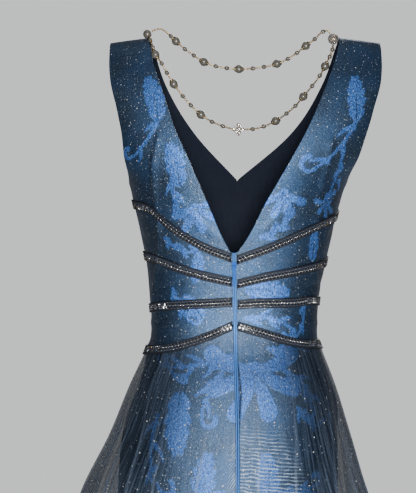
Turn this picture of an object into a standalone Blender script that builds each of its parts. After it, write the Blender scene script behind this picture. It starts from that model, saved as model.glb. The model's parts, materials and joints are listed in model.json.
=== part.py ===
"""A full-length evening gown with a deep V back, at its real size in metres, in the hollow form it has when worn.

Z is up and the front faces +Y, so the back faces -Y. Left and right are the gown's own, as seen from behind:
the left strap is at -X. The origin lies midway between the tops of the two straps. A drop is a distance
down from there. An angle goes round the gown: 0 at the centre back, 90 at the right side seam, 180 at the
centre front and -90, or 270, at the left side seam.
"""

import math
from collections import namedtuple

import bmesh
import bpy
from mathutils import Matrix, Vector

# Driving sizes
BODICE_WALL = 0.0015
SKIRT_WALL = 0.0012
OVERLAY_WALL = 0.001
SEAM_GAP = 0.0009
WAIST_GAP = 0.0010
SEAT_GAP = 0.0003
UNDERARM_DROP = 0.205
BACK_NECK_DROP = 0.301
FRONT_NECK_DROP = 0.195
WAIST_DROP = 0.425
SKIRT_HEM_DROP = 1.425
OVERLAY_HEM_DROP = 1.45
SHOULDER_FALL = 0.020
BACK_ROUNDNESS = 0.15

# The outline of the gown at each height: half its width, where its middle lies, and how far it
# stands out behind and in front. Above the underarm these are the figure's, and the straps are cut from them.
Ring = namedtuple("Ring", "drop half_width centre back front")
GOWN_RINGS = (
    Ring(0.000, 0.2220, 0.0000, 0.0008, 0.0008),
    Ring(0.003, 0.2222, 0.0000, 0.0180, 0.0160),
    Ring(0.012, 0.2225, 0.0000, 0.0360, 0.0320),
    Ring(0.030, 0.2225, 0.0000, 0.0540, 0.0470),
    Ring(0.060, 0.2200, 0.0000, 0.0740, 0.0610),
    Ring(0.100, 0.2090, -0.0007, 0.0900, 0.0750),
    Ring(0.134, 0.1980, -0.0022, 0.0980, 0.0880),
    Ring(0.167, 0.1810, -0.0057, 0.1015, 0.0990),
    Ring(0.205, 0.1520, -0.0102, 0.1010, 0.1100),
    Ring(0.232, 0.1440, -0.0116, 0.0980, 0.1150),
    Ring(0.283, 0.1320, -0.0120, 0.0890, 0.1080),
    Ring(0.316, 0.1250, -0.0126, 0.0830, 0.0990),
    Ring(0.367, 0.1180, -0.0150, 0.0760, 0.0890),
    Ring(0.400, 0.1158, -0.0150, 0.0740, 0.0860),
    Ring(0.417, 0.1165, -0.0154, 0.0755, 0.0865),
    Ring(0.434, 0.1225, -0.0155, 0.0790, 0.0880),
    Ring(0.484, 0.1435, -0.0175, 0.0965, 0.0965),
    Ring(0.552, 0.1680, -0.0210, 0.1200, 0.1130),
    Ring(0.636, 0.2015, -0.0290, 0.1490, 0.1430),
    Ring(1.000, 0.3200, -0.0250, 0.2700, 0.2600),
    Ring(1.450, 0.4300, -0.0150, 0.3850, 0.3700),
)

# The inner skirt hangs closer to the figure than the sheer overlay that falls over it.
SKIRT_RINGS = (
    Ring(0.395, 0.1132, -0.0150, 0.0713, 0.0834),
    Ring(0.417, 0.1137, -0.0153, 0.0727, 0.0837),
    Ring(0.434, 0.1195, -0.0153, 0.0762, 0.0852),
    Ring(0.484, 0.1345, -0.0130, 0.0930, 0.0930),
    Ring(0.518, 0.1455, -0.0165, 0.1010, 0.0960),
    Ring(0.552, 0.1500, -0.0210, 0.1080, 0.1010),
    Ring(0.636, 0.1540, -0.0240, 0.1190, 0.1130),
    Ring(1.000, 0.1850, -0.0220, 0.1450, 0.1450),
    Ring(1.450, 0.2400, -0.0150, 0.2050, 0.2050),
)

# Where the edge of the back opening lies, left and right, at each drop
NeckRow = namedtuple("NeckRow", "drop left right")
BACK_NECK = (
    NeckRow(0.000, -0.1315, 0.1320),
    NeckRow(0.033, -0.1283, 0.1235),
    NeckRow(0.087, -0.1115, 0.1030),
    NeckRow(0.137, -0.0950, 0.0803),
    NeckRow(0.170, -0.0801, 0.0625),
    NeckRow(0.235, -0.0518, 0.0248),
    NeckRow(0.283, -0.0302, -0.0006),
    NeckRow(0.301, -0.0206, -0.0128),
)
FRONT_NECK = (
    NeckRow(0.000, -0.1315, 0.1320),
    NeckRow(0.060, -0.1130, 0.1120),
    NeckRow(0.130, -0.0700, 0.0670),
    NeckRow(0.195, -0.0090, -0.0090),
)

# The armholes: the angle of the cloth's edge above the curve, and where the curve starts
BACK_ARM_ANGLE = 58.0
FRONT_ARM_ANGLE = 126.0
SHOULDER_ARM_ANGLE = 122.0
ARM_CURVE_DROP = 0.120

# The centre-back zip leans a little, like the figure
ZIP_TOP_X = -0.0167
ZIP_FOOT_X = -0.0125
ZIP_LEAN_DROPS = (0.30, 0.53)
ZIP_END_DROP = 0.62
ZIP_WIDTH = 0.005
ZIP_THICKNESS = 0.0012
ZIP_LIFT = 0.0006

# The stone trim bands, from the zip (0 degrees) to the side seams (90) and on to the centre front
BandRow = namedtuple(
    "BandRow", "left_0 left_20 left_40 left_60 left_90 right_0 right_20 right_40 right_60 right_90 front"
)
BANDS = (
    BandRow(0.310, 0.293, 0.268, 0.239, 0.232, 0.310, 0.2935, 0.275, 0.2595, 0.246, 0.288),
    BandRow(0.341, 0.332, 0.321, 0.3095, 0.304, 0.343, 0.333, 0.326, 0.3195, 0.311, 0.334),
    BandRow(0.367, 0.3695, 0.3715, 0.374, 0.378, 0.371, 0.3685, 0.3685, 0.366, 0.368, 0.374),
    BandRow(0.398, 0.4155, 0.428, 0.4335, 0.437, 0.399, 0.4105, 0.4215, 0.4265, 0.4285, 0.412),
)
BAND_ANGLES = (0, 20, 40, 60, 90)
BAND_WIDTH = 0.0120
BAND_THICKNESS = 0.0014
BAND_CROWN = 0.0009
BAND_LIFT = 0.0008
BAND_CLEAR_OF_ZIP = 0.0036

# Soft folds of the overlay: each is a ridge, or a valley where its height is negative. Its angle is given
# at the waist, at the knee and at the hem, its height at the knee and at the hem.
FoldRow = namedtuple("FoldRow", "waist_angle knee_angle hem_angle width knee_height hem_height")
OVERLAY_FOLDS = (
    FoldRow(-84, -76, -72, 6.0, 0.0040, 0.0200),
    FoldRow(-78, -65, -61, 6.0, -0.0060, -0.0120),
    FoldRow(-73, -53, -49, 6.5, 0.0070, 0.0240),
    FoldRow(-60, -41, -37, 6.5, 0.0050, 0.0200),
    FoldRow(-45, -29, -25, 7.0, 0.0030, 0.0190),
    FoldRow(-12, -12, -12, 7.0, 0.0000, 0.0200),
    FoldRow(12, 13, 13, 7.0, 0.0000, 0.0190),
    FoldRow(40, 28, 26, 7.0, 0.0015, 0.0180),
    FoldRow(76, 46, 42, 6.5, 0.0080, 0.0240),
    FoldRow(81, 61, 56, 6.0, -0.0090, -0.0160),
    FoldRow(86, 71, 69, 6.5, 0.0080, 0.0230),
    FoldRow(103, 105, 106, 7.5, 0.0065, 0.0240),
    FoldRow(122, 124, 125, 7.0, 0.0050, 0.0210),
    FoldRow(140, 143, 144, 7.5, 0.0060, 0.0240),
    FoldRow(161, 162, 163, 7.0, 0.0040, 0.0200),
    FoldRow(183, 182, 182, 7.5, 0.0055, 0.0230),
    FoldRow(206, 203, 202, 7.0, 0.0045, 0.0200),
    FoldRow(226, 223, 221, 7.5, 0.0065, 0.0240),
    FoldRow(249, 245, 243, 7.0, 0.0060, 0.0220),
)
SKIRT_FOLDS = (
    FoldRow(-66, -60, -56, 13.0, 0.0030, 0.0130),
    FoldRow(-24, -26, -28, 13.0, 0.0000, 0.0120),
    FoldRow(26, 24, 22, 13.0, 0.0000, 0.0120),
    FoldRow(70, 62, 58, 13.0, 0.0030, 0.0130),
    FoldRow(112, 114, 116, 13.0, 0.0035, 0.0140),
    FoldRow(150, 150, 150, 13.0, 0.0030, 0.0120),
    FoldRow(190, 190, 190, 13.0, 0.0030, 0.0120),
    FoldRow(236, 232, 230, 13.0, 0.0035, 0.0140),
)
FOLD_KNEE_DROP = 0.64
FOLD_START_DROP = 0.44

# The zip's slider and its pull tab
SLIDER_DROP = 0.318
SLIDER_SIZE = (0.0064, 0.0020, 0.0110)
EAR_THICKNESS = 0.0009
EAR_INSIDE = 0.0030
EAR_RADIUS = 0.0016
EAR_FOOT = 0.0026
PIN_RADIUS = 0.0006
PULL_EYE_RADIUS = 0.0015
PULL_BORE_RADIUS = 0.0009
PULL_EYE_WIDTH = 0.0024
PULL_LENGTH = 0.0265
PULL_WIDTH_TOP = 0.0046
PULL_WIDTH_FOOT = 0.0034
PULL_THICKNESS = 0.0011

# The two pearl strands: beads threaded on wire, listed from the left strap to the right one
BeadRow = namedtuple("BeadRow", "x y z bead")
WIRE_RADIUS = 0.0009
SMALL_PEARL_RADIUS = 0.0032
LARGE_PEARL_RADIUS = 0.0060
CORNER_PEARL_RADIUS = 0.0064
JEWEL_BALL_RADIUS = 0.0080
UPPER_STRAND = (
    BeadRow(-0.1301, -0.0154, 0.0067, "wire"),
    BeadRow(-0.1250, -0.0150, 0.0098, "wire"),
    BeadRow(-0.1190, -0.0146, 0.0108, "wire"),
    BeadRow(-0.1130, -0.0142, 0.0086, "wire"),
    BeadRow(-0.1033, -0.0140, 0.0009, "small"),
    BeadRow(-0.0963, -0.0140, -0.0061, "large"),
    BeadRow(-0.0838, -0.0140, -0.0172, "small"),
    BeadRow(-0.0713, -0.0140, -0.0260, "small"),
    BeadRow(-0.0574, -0.0140, -0.0350, "large"),
    BeadRow(-0.0407, -0.0140, -0.0410, "small"),
    BeadRow(-0.0254, -0.0140, -0.0437, "small"),
    BeadRow(-0.0087, -0.0140, -0.0450, "large"),
    BeadRow(0.0108, -0.0140, -0.0441, "small"),
    BeadRow(0.0261, -0.0140, -0.0419, "small"),
    BeadRow(0.0442, -0.0140, -0.0375, "large"),
    BeadRow(0.0595, -0.0140, -0.0306, "small"),
    BeadRow(0.0720, -0.0140, -0.0225, "small"),
    BeadRow(0.0845, -0.0140, -0.0125, "large"),
    BeadRow(0.0970, -0.0140, -0.0030, "small"),
    BeadRow(0.1085, -0.0140, 0.0072, "small"),
    BeadRow(0.1140, -0.0140, 0.0085, "wire"),
    BeadRow(0.1185, -0.0140, 0.0042, "wire"),
)
LOWER_STRAND = (
    BeadRow(-0.1342, -0.0213, -0.0005, "wire"),
    BeadRow(-0.1312, -0.0305, -0.0071, "small"),
    BeadRow(-0.1276, -0.0430, -0.0182, "small"),
    BeadRow(-0.1235, -0.0550, -0.0292, "large"),
    BeadRow(-0.1150, -0.0560, -0.0415, "small"),
    BeadRow(-0.1080, -0.0540, -0.0541, "small"),
    BeadRow(-0.0987, -0.0520, -0.0692, "large"),
    BeadRow(-0.0863, -0.0490, -0.0855, "small"),
    BeadRow(-0.0752, -0.0470, -0.0980, "small"),
    BeadRow(-0.0615, -0.0440, -0.1106, "large"),
    BeadRow(-0.0463, -0.0410, -0.1202, "small"),
    BeadRow(-0.0311, -0.0380, -0.1260, "small"),
    BeadRow(-0.0104, -0.0340, -0.1305, "charm"),
    BeadRow(0.0102, -0.0310, -0.1295, "small"),
    BeadRow(0.0254, -0.0290, -0.1257, "small"),
    BeadRow(0.0420, -0.0260, -0.1180, "large"),
    BeadRow(0.0571, -0.0240, -0.1075, "small"),
    BeadRow(0.0696, -0.0220, -0.0965, "small"),
    BeadRow(0.0806, -0.0200, -0.0835, "large"),
    BeadRow(0.0930, -0.0180, -0.0688, "small"),
    BeadRow(0.1035, -0.0170, -0.0545, "small"),
    BeadRow(0.1110, -0.0160, -0.0410, "large"),
    BeadRow(0.1175, -0.0150, -0.0278, "small"),
    BeadRow(0.1212, -0.0145, -0.0180, "small"),
    BeadRow(0.1222, -0.0140, -0.0113, "wire"),
)
CHARM_RADIUS = 0.0088
CHARM_THICKNESS = 0.0030

for old in list(bpy.data.objects):
    bpy.data.objects.remove(old)

gown = bpy.data.collections.new("prom_gown")
bpy.context.scene.collection.children.link(gown)
cutters = bpy.data.collections.new("cutters")
cutters.hide_render = True
bpy.context.scene.collection.children.link(cutters)


class Curve:
    """A smooth line through the rows of a table, which never swings past them."""

    def __init__(self, places, values):
        self.places, self.values = list(places), list(values)
        steps = [b - a for a, b in zip(self.places, self.places[1:])]
        rises = [(b - a) / step for a, b, step in zip(self.values, self.values[1:], steps)]
        slopes = [rises[0]]
        for i in range(1, len(rises)):
            before, after = rises[i - 1], rises[i]
            even = (before * steps[i] + after * steps[i - 1]) / (steps[i - 1] + steps[i])
            least = min(abs(before), abs(after), 0.5 * abs(even))
            slopes.append((math.copysign(1, before) + math.copysign(1, after)) * least)
        slopes.append(rises[-1])
        self.steps, self.rises, self.slopes = steps, rises, slopes

    def __call__(self, place):
        last = len(self.steps) - 1
        i = 0
        while i < last and place > self.places[i + 1]:
            i += 1
        step, rise = self.steps[i], self.rises[i]
        s = min(max(place - self.places[i], 0.0), step)
        bend = (self.slopes[i] + self.slopes[i + 1] - 2 * rise) / step**2
        lean = (3 * rise - 2 * self.slopes[i] - self.slopes[i + 1]) / step
        return ((bend * s + lean) * s + self.slopes[i]) * s + self.values[i]


def ring_curves(rings):
    """One curve for each column, along the square root of the drop, which rounds the shoulders."""
    places = [math.sqrt(ring.drop) for ring in rings]
    return Ring(None, *(Curve(places, column) for column in list(zip(*rings))[1:]))


gown_curves = ring_curves(GOWN_RINGS)
skirt_curves = ring_curves(SKIRT_RINGS)
back_neck = {
    "left": Curve([row.drop for row in BACK_NECK], [row.left for row in BACK_NECK]),
    "right": Curve([row.drop for row in BACK_NECK], [row.right for row in BACK_NECK]),
}
front_neck = {
    "left": Curve([row.drop for row in FRONT_NECK], [row.left for row in FRONT_NECK]),
    "right": Curve([row.drop for row in FRONT_NECK], [row.right for row in FRONT_NECK]),
}
band_curves = [
    {"left": Curve(BAND_ANGLES, band[:5]), "right": Curve(BAND_ANGLES, band[5:10])} for band in BANDS
]


def fold_height(folds, angle, drop):
    """How far the folds push the cloth out at one place."""
    if drop <= FOLD_START_DROP:
        return 0.0
    above = min((drop - FOLD_START_DROP) / (FOLD_KNEE_DROP - FOLD_START_DROP), 1.0)
    below = max((drop - FOLD_KNEE_DROP) / (OVERLAY_HEM_DROP - FOLD_KNEE_DROP), 0.0)
    total = 0.0
    for fold in folds:
        middle = fold.waist_angle + (fold.knee_angle - fold.waist_angle) * above**0.5
        middle += (fold.hem_angle - fold.knee_angle) * below
        height = fold.knee_height * above**1.5 + (fold.hem_height - fold.knee_height) * below
        away = (angle - middle + 180) % 360 - 180
        total += height * math.exp(-((away / fold.width) ** 2))
    return total


def surface_point(curves, folds, angle, drop):
    """A point of the cloth's outer face."""
    place = math.sqrt(max(drop, 0.0))
    turn = math.radians(angle)
    sine, cosine = math.sin(turn), math.cos(turn)
    depth = curves.back(place) if cosine > 0 else curves.front(place)
    out = fold_height(folds, angle, drop)
    x = curves.centre(place) + (curves.half_width(place) + out) * sine
    y = -(depth + out) * cosine * (1 + BACK_ROUNDNESS * sine * sine)
    fall = SHOULDER_FALL * (sine * sine - 0.35) * max(1 - drop / 0.1, 0.0)
    return Vector((x, y, -drop - fall))


def gown_point(angle, drop):
    return surface_point(gown_curves, OVERLAY_FOLDS, angle, drop)


def skirt_point(angle, drop):
    return surface_point(skirt_curves, SKIRT_FOLDS, angle, drop)


def gown_normal(angle, drop):
    """The direction straight out of the cloth."""
    along = gown_point(angle + 0.5, drop) - gown_point(angle - 0.5, drop)
    down = gown_point(angle, drop + 0.001) - gown_point(angle, max(drop - 0.001, 0.0))
    return down.cross(along).normalized()


def raised_point(angle, drop, lift):
    return gown_point(angle, drop) + gown_normal(angle, drop) * lift


def angle_of_x(x, drop):
    """The angle at which the back of the gown passes a given X."""
    place = math.sqrt(drop)
    sine = (x - gown_curves.centre(place)) / gown_curves.half_width(place)
    return math.degrees(math.asin(max(-1.0, min(1.0, sine))))


def zip_angle(drop):
    start, end = ZIP_LEAN_DROPS
    share = min(max((drop - start) / (end - start), 0.0), 1.0)
    return angle_of_x(ZIP_TOP_X + (ZIP_FOOT_X - ZIP_TOP_X) * share, drop)


def gap_angle(drop, gap=SEAM_GAP / 2):
    """The turn that opens half a seam's gap at a drop."""
    return math.degrees(gap / gown_curves.half_width(math.sqrt(drop)))


def band_drop(band, angle):
    """The middle of a trim band at any angle from -180 to 270."""
    signed = (angle + 180) % 360 - 180
    curve = band_curves[band]["left" if signed < 0 else "right"]
    if abs(signed) <= 90:
        return curve(abs(signed))
    share = (abs(signed) - 90) / 90
    return curve(90) + (BANDS[band].front - curve(90)) * share * share * (3 - 2 * share)


def bodice_drop(row, angle, lowest):
    """A bodice row's true drop: below the back opening the rows spread to meet the waist seam."""
    if row <= BACK_NECK_DROP:
        return row
    share = (row - BACK_NECK_DROP) / (WAIST_DROP - BACK_NECK_DROP)
    return BACK_NECK_DROP + share * (band_drop(lowest, angle) - WAIST_GAP / 2 - BACK_NECK_DROP)


def arm_angle(row, straight, shoulder):
    """The angle of an armhole's edge: straight down the strap, then round the curve to the side seam."""
    if row <= ARM_CURVE_DROP:
        return shoulder + (straight - shoulder) * min(row / ARM_CURVE_DROP, 1.0)
    share = min((row - ARM_CURVE_DROP) / (UNDERARM_DROP - ARM_CURVE_DROP), 1.0)
    return 90 + (straight - 90) * math.sqrt(1 - share * share)


def material(name, colour, roughness, metallic=0.0):
    made = bpy.data.materials.get(name) or bpy.data.materials.new(name)
    made.use_nodes = True
    shader = made.node_tree.nodes["Principled BSDF"]
    shader.inputs["Base Color"].default_value = (*colour, 1)
    shader.inputs["Roughness"].default_value = roughness
    shader.inputs["Metallic"].default_value = metallic
    return made


DAMASK = material("blue_damask", (0.10, 0.20, 0.42), 0.45)
TULLE = material("glitter_tulle", (0.20, 0.30, 0.45), 0.5)
ZIP_TAPE = material("zip_tape", (0.16, 0.36, 0.72), 0.5)
ZIP_METAL = material("zip_enamel", (0.10, 0.30, 0.75), 0.35)
STONE_TRIM = material("stone_trim", (0.12, 0.12, 0.13), 0.25, 0.4)
PEARL = material("pearl", (0.85, 0.82, 0.74), 0.25)
JEWEL = material("jewel_metal", (0.80, 0.72, 0.50), 0.25, 1.0)


def add(name, mesh, finish):
    made = bpy.data.objects.new(name, mesh)
    gown.objects.link(made)
    made.data.materials.append(finish)
    return made


def sheet_mesh(name, grids):
    """Quads through one or more grids of points, sewn where they share points."""
    shape = bmesh.new()
    for rows in grids:
        made = [[shape.verts.new(point) for point in row] for row in rows]
        for upper, lower in zip(made, made[1:]):
            for i in range(len(upper) - 1):
                shape.faces.new((upper[i], lower[i], lower[i + 1], upper[i + 1]))
    bmesh.ops.remove_doubles(shape, verts=shape.verts, dist=0.00001)
    mesh = bpy.data.meshes.new(name)
    shape.to_mesh(mesh)
    shape.free()
    mesh.shade_smooth()
    return mesh


def cloth(name, grids, wall, finish, side=-1):
    """A piece of cloth: its outer face, given its wall by Solidify, inwards unless side is 1."""
    made = add(name, sheet_mesh(name, grids), finish)
    thick = made.modifiers.new("wall", "SOLIDIFY")
    thick.thickness = wall
    thick.offset = side
    return made


def span(start, end, steps):
    return [start + (end - start) * i / steps for i in range(steps + 1)]


# The bodice: two back pieces that meet at the zip, and a front whose straps meet them at the shoulders
BODICE_ROWS = (0.0, 0.0008, 0.005, 0.015, 0.032, 0.058, 0.090, 0.122, 0.152, 0.178, 0.195, 0.205)
BACK_LOWER_ROWS = (0.232, 0.268, 0.2995)
WAIST_ROWS = (0.334, 0.368, 0.394, 0.410, 0.419, WAIST_DROP)
FRONT_LOWER_ROWS = (0.222, 0.242, 0.265, 0.290, 0.312)
BACK_COLUMNS = 9
LOWEST_BAND = len(BANDS) - 1


def bodice_row(row, start, end, columns):
    return [gown_point(angle, bodice_drop(row, angle, LOWEST_BAND)) for angle in span(start, end, columns)]


for side, sign in (("left", -1), ("right", 1)):
    rows = []
    for row in BODICE_ROWS + BACK_LOWER_ROWS:
        neck = angle_of_x(back_neck[side](row), row)
        arm = sign * (arm_angle(row, BACK_ARM_ANGLE, BACK_ARM_ANGLE) - gap_angle(row))
        rows.append(bodice_row(row, neck, arm, BACK_COLUMNS))
    for row in (BACK_NECK_DROP,) + WAIST_ROWS:
        arm = sign * (90 - gap_angle(row))
        rows.append(bodice_row(row, zip_angle(row) + sign * gap_angle(row), arm, BACK_COLUMNS))
    if side == "left":
        rows = [row[::-1] for row in rows]
    cloth(f"bodice_back_{side}", [rows], BODICE_WALL, DAMASK)

FRONT_COLUMNS = 9
front_grids = []
for side, sign in (("right", 1), ("left", -1)):
    rows = []
    for row in BODICE_ROWS + FRONT_LOWER_ROWS + WAIST_ROWS:
        arm = 180 - sign * (180 - arm_angle(row, FRONT_ARM_ANGLE, SHOULDER_ARM_ANGLE) - gap_angle(row))
        neck = 180.0
        if row < FRONT_NECK_DROP:
            neck = 180 - angle_of_x(front_neck[side](row), row)
        columns = span(arm, neck, FRONT_COLUMNS)
        if side == "left":
            columns = columns[::-1]
        rows.append([gown_point(angle, bodice_drop(row, angle, LOWEST_BAND)) for angle in columns])
    front_grids.append(rows)
cloth("bodice_front", front_grids, BODICE_WALL, DAMASK)

# The inner skirt and the sheer overlay: two back pieces and a front each, hung from the waist seam
SKIRT_SHARES = (0.0, 0.02, 0.05, 0.09, 0.13, 0.20, 0.32, 0.50, 0.75, 1.0)
OVERLAY_SHARES = (0.0, 0.015, 0.04, 0.07, 0.11, 0.16, 0.21, 0.29, 0.42, 0.58, 0.78, 1.0)
Panel = namedtuple("Panel", "name side skirt_columns overlay_columns")
PANELS = (
    Panel("back_left", "left", 10, 17),
    Panel("back_right", "right", 10, 17),
    Panel("front", "front", 18, 30),
)


def panel_ends(side, drop):
    """The first and last angle of a skirt panel at a drop."""
    gap = gap_angle(drop)
    if side == "left":
        return -90 + gap, zip_angle(drop) - gap
    if side == "right":
        return zip_angle(drop) + gap, 90 - gap
    return 90 + gap, 270 - gap


def skirt_rows(side, shares, columns, hem, point):
    rows = []
    for share in shares:
        row = []
        for i in range(columns + 1):
            nominal = WAIST_DROP + share * (hem - WAIST_DROP)
            start, end = panel_ends(side, nominal)
            angle = start + (end - start) * i / columns
            top = band_drop(LOWEST_BAND, angle) + WAIST_GAP / 2
            row.append(point(angle, top + share * (hem - top)))
        rows.append(row)
    return rows


for panel in PANELS:
    rows = skirt_rows(panel.side, SKIRT_SHARES, panel.skirt_columns, SKIRT_HEM_DROP, skirt_point)
    cloth(f"skirt_{panel.name}", [rows], SKIRT_WALL, DAMASK)
    rows = skirt_rows(panel.side, OVERLAY_SHARES, panel.overlay_columns, OVERLAY_HEM_DROP, gown_point)
    cloth(f"overlay_{panel.name}", [rows], OVERLAY_WALL, TULLE)

# The stone trim: four bands on each back piece, and four that carry on round the front
BAND_BACK_COLUMNS = 15
BAND_FRONT_COLUMNS = 30


def band_rows(band, start, end, columns):
    """Three lines along a band, the middle one raised by its stones."""
    angles = span(start, end, columns)
    lines = []
    for across, lift in ((-0.5, BAND_LIFT), (0.0, BAND_LIFT + BAND_CROWN), (0.5, BAND_LIFT)):
        drops = [band_drop(band, angle) + across * BAND_WIDTH for angle in angles]
        lines.append([raised_point(angle, drop, lift) for angle, drop in zip(angles, drops)])
    return lines


for band in range(len(BANDS)):
    middle = band_drop(band, 0)
    start = zip_angle(middle)
    clear = gap_angle(middle, BAND_CLEAR_OF_ZIP)
    gap = gap_angle(middle)
    ends = {
        "back_left": (-90 + gap, start - clear, BAND_BACK_COLUMNS),
        "back_right": (start + clear, 90 - gap, BAND_BACK_COLUMNS),
        "front": (90 + gap, 270 - gap, BAND_FRONT_COLUMNS),
    }
    for place, (first, last, columns) in ends.items():
        rows = band_rows(band, first, last, columns)
        cloth(f"band_{band + 1}_{place}", [rows], BAND_THICKNESS, STONE_TRIM, side=1)

# The zip: a tape ridge over the centre-back seam, a slider with two ears and a pin, and the pull tab
ZIP_ROWS = 26
ridge = []
for drop in span(BACK_NECK_DROP - 0.001, ZIP_END_DROP, ZIP_ROWS):
    half = gap_angle(drop, ZIP_WIDTH / 2)
    middle = zip_angle(drop)
    ridge.append([raised_point(middle + turn, drop, ZIP_LIFT) for turn in (-half, 0.0, half)])
cloth("zip_tape", [ridge], ZIP_THICKNESS, ZIP_TAPE, side=1)


def box_mesh(name, size, centre):
    shape = bmesh.new()
    bmesh.ops.create_cube(shape, size=1, matrix=Matrix.Translation(centre) @ Matrix.Diagonal((*size, 1)))
    mesh = bpy.data.meshes.new(name)
    shape.to_mesh(mesh)
    shape.free()
    return mesh


def rod_mesh(name, radius, length, centre, sides=16):
    """A cylinder along X."""
    shape = bmesh.new()
    place = Matrix.Translation(centre) @ Matrix.Rotation(math.pi / 2, 4, "Y")
    bmesh.ops.create_cone(
        shape, cap_ends=True, segments=sides, radius1=radius, radius2=radius, depth=length, matrix=place
    )
    mesh = bpy.data.meshes.new(name)
    shape.to_mesh(mesh)
    shape.free()
    return mesh


def combine(made, name, mesh, operation):
    """Joins a shape to an object, or cuts it out, with a Boolean."""
    tool = bpy.data.objects.new(name, mesh)
    tool.hide_render = True
    tool.display_type = "WIRE"
    tool.location = made.location
    tool.rotation_euler = made.rotation_euler
    cutters.objects.link(tool)
    step = made.modifiers.new(name, "BOOLEAN")
    step.operation = operation
    step.object = tool
    return made


# The slider lies on the tape and leans with it: its own -Y is straight out of the cloth
slider_out = gown_normal(zip_angle(SLIDER_DROP), SLIDER_DROP)
slider_seat = ZIP_LIFT + ZIP_THICKNESS + SEAT_GAP + 0.0002
slider_place = raised_point(zip_angle(SLIDER_DROP), SLIDER_DROP, slider_seat)
lean = math.asin(slider_out.z)
pin_out = SLIDER_SIZE[1] + 0.0019
pin_up = 0.0005

slider = add("zip_slider", box_mesh("zip_slider", SLIDER_SIZE, (0, -SLIDER_SIZE[1] / 2, 0)), ZIP_METAL)
slider.location = slider_place
slider.rotation_euler = (-lean, 0, 0)
for side, sign in (("left", -1), ("right", 1)):
    across = sign * (EAR_INSIDE / 2 + EAR_THICKNESS / 2)
    foot_size = (EAR_THICKNESS, EAR_FOOT, 1.9 * EAR_RADIUS)
    foot = box_mesh("ear", foot_size, (across, -pin_out + EAR_FOOT / 2, pin_up))
    combine(slider, f"ear_foot_{side}", foot, "UNION")
    ear = rod_mesh("ear", EAR_RADIUS, 0.9 * EAR_THICKNESS, (across, -pin_out, pin_up), sides=18)
    combine(slider, f"ear_{side}", ear, "UNION")
pin = rod_mesh("pin", PIN_RADIUS, EAR_INSIDE + EAR_THICKNESS, (0, -pin_out, pin_up), sides=12)
combine(slider, "pin", pin, "UNION")

# The pull hangs plumb from the pin, so its object stands on the pin's axis
pin_place = slider_place + Matrix.Rotation(-lean, 3, "X") @ Vector((0, -pin_out, pin_up))
pull = add("zip_pull", rod_mesh("zip_pull", PULL_EYE_RADIUS, PULL_EYE_WIDTH, (0, 0, 0)), ZIP_METAL)
pull.location = pin_place
neck = box_mesh("neck", (PULL_EYE_WIDTH * 0.9, PULL_THICKNESS, 0.0040), (0, 0, -0.0030))
combine(pull, "pull_neck", neck, "UNION")
tab_shape = bmesh.new()
bmesh.ops.create_cone(
    tab_shape,
    cap_ends=True,
    segments=4,
    radius1=PULL_WIDTH_FOOT / math.sqrt(2),
    radius2=PULL_WIDTH_TOP / math.sqrt(2),
    depth=PULL_LENGTH - 0.0040,
    matrix=Matrix.Translation((0, 0, -(PULL_LENGTH + 0.0040) / 2)) @ Matrix.Rotation(math.pi / 4, 4, "Z"),
)
for corner in tab_shape.verts:
    corner.co.y = math.copysign(PULL_THICKNESS * 0.52, corner.co.y)
tab = bpy.data.meshes.new("tab")
tab_shape.to_mesh(tab)
tab_shape.free()
combine(pull, "pull_tab", tab, "UNION")
combine(pull, "pull_bore", rod_mesh("bore", PULL_BORE_RADIUS, 0.01, (0, 0, 0)), "DIFFERENCE")


# The pearl strands and the jewels that hold them to the straps
def strand(name, rows):
    """A wire through the beads of a strand, swollen at each bead."""
    radii = {"small": SMALL_PEARL_RADIUS, "large": LARGE_PEARL_RADIUS}
    points = [Vector(row[:3]) for row in rows]
    places = [0.0]
    for a, b in zip(points, points[1:]):
        places.append(places[-1] + (b - a).length)
    route = [Curve(places, [point[axis] for point in points]) for axis in range(3)]
    stops = []
    for row, place in zip(rows, places):
        radius = radii.get(row.bead)
        if radius is None:
            stops.append((place, WIRE_RADIUS))
            continue
        rounds = ((-1.0, 0.0), (0.0, 1.0), (1.0, 0.0))
        if row.bead == "large":
            rounds = ((-1.0, 0.0), (-0.6, 0.8), (0.0, 1.0), (0.6, 0.8), (1.0, 0.0))
        for along, swell in rounds:
            stops.append((place + along * radius, max(WIRE_RADIUS, swell * radius)))
    curve = bpy.data.curves.new(name, "CURVE")
    curve.dimensions = "3D"
    curve.bevel_depth = WIRE_RADIUS
    curve.bevel_resolution = 2
    curve.use_fill_caps = True
    line = curve.splines.new("POLY")
    line.points.add(len(stops) - 1)
    for point, (place, radius) in zip(line.points, stops):
        point.co = (*(axis(place) for axis in route), 1)
        point.radius = radius / WIRE_RADIUS
    return add(name, curve, PEARL)


strand("pearl_strand_upper", UPPER_STRAND)
strand("pearl_strand_lower", LOWER_STRAND)


def ball(name, radius, place, finish):
    shape = bmesh.new()
    bmesh.ops.create_uvsphere(shape, u_segments=14, v_segments=9, radius=radius)
    mesh = bpy.data.meshes.new(name)
    shape.to_mesh(mesh)
    shape.free()
    mesh.shade_smooth()
    made = add(name, mesh, finish)
    made.location = place
    return made


ball("corner_pearl", CORNER_PEARL_RADIUS, raised_point(-37.5, 0.0025, CORNER_PEARL_RADIUS + SEAT_GAP), PEARL)
ball("jewel_ball", JEWEL_BALL_RADIUS, Vector((0.1226, -0.0140, -0.0030)), JEWEL)

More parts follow.
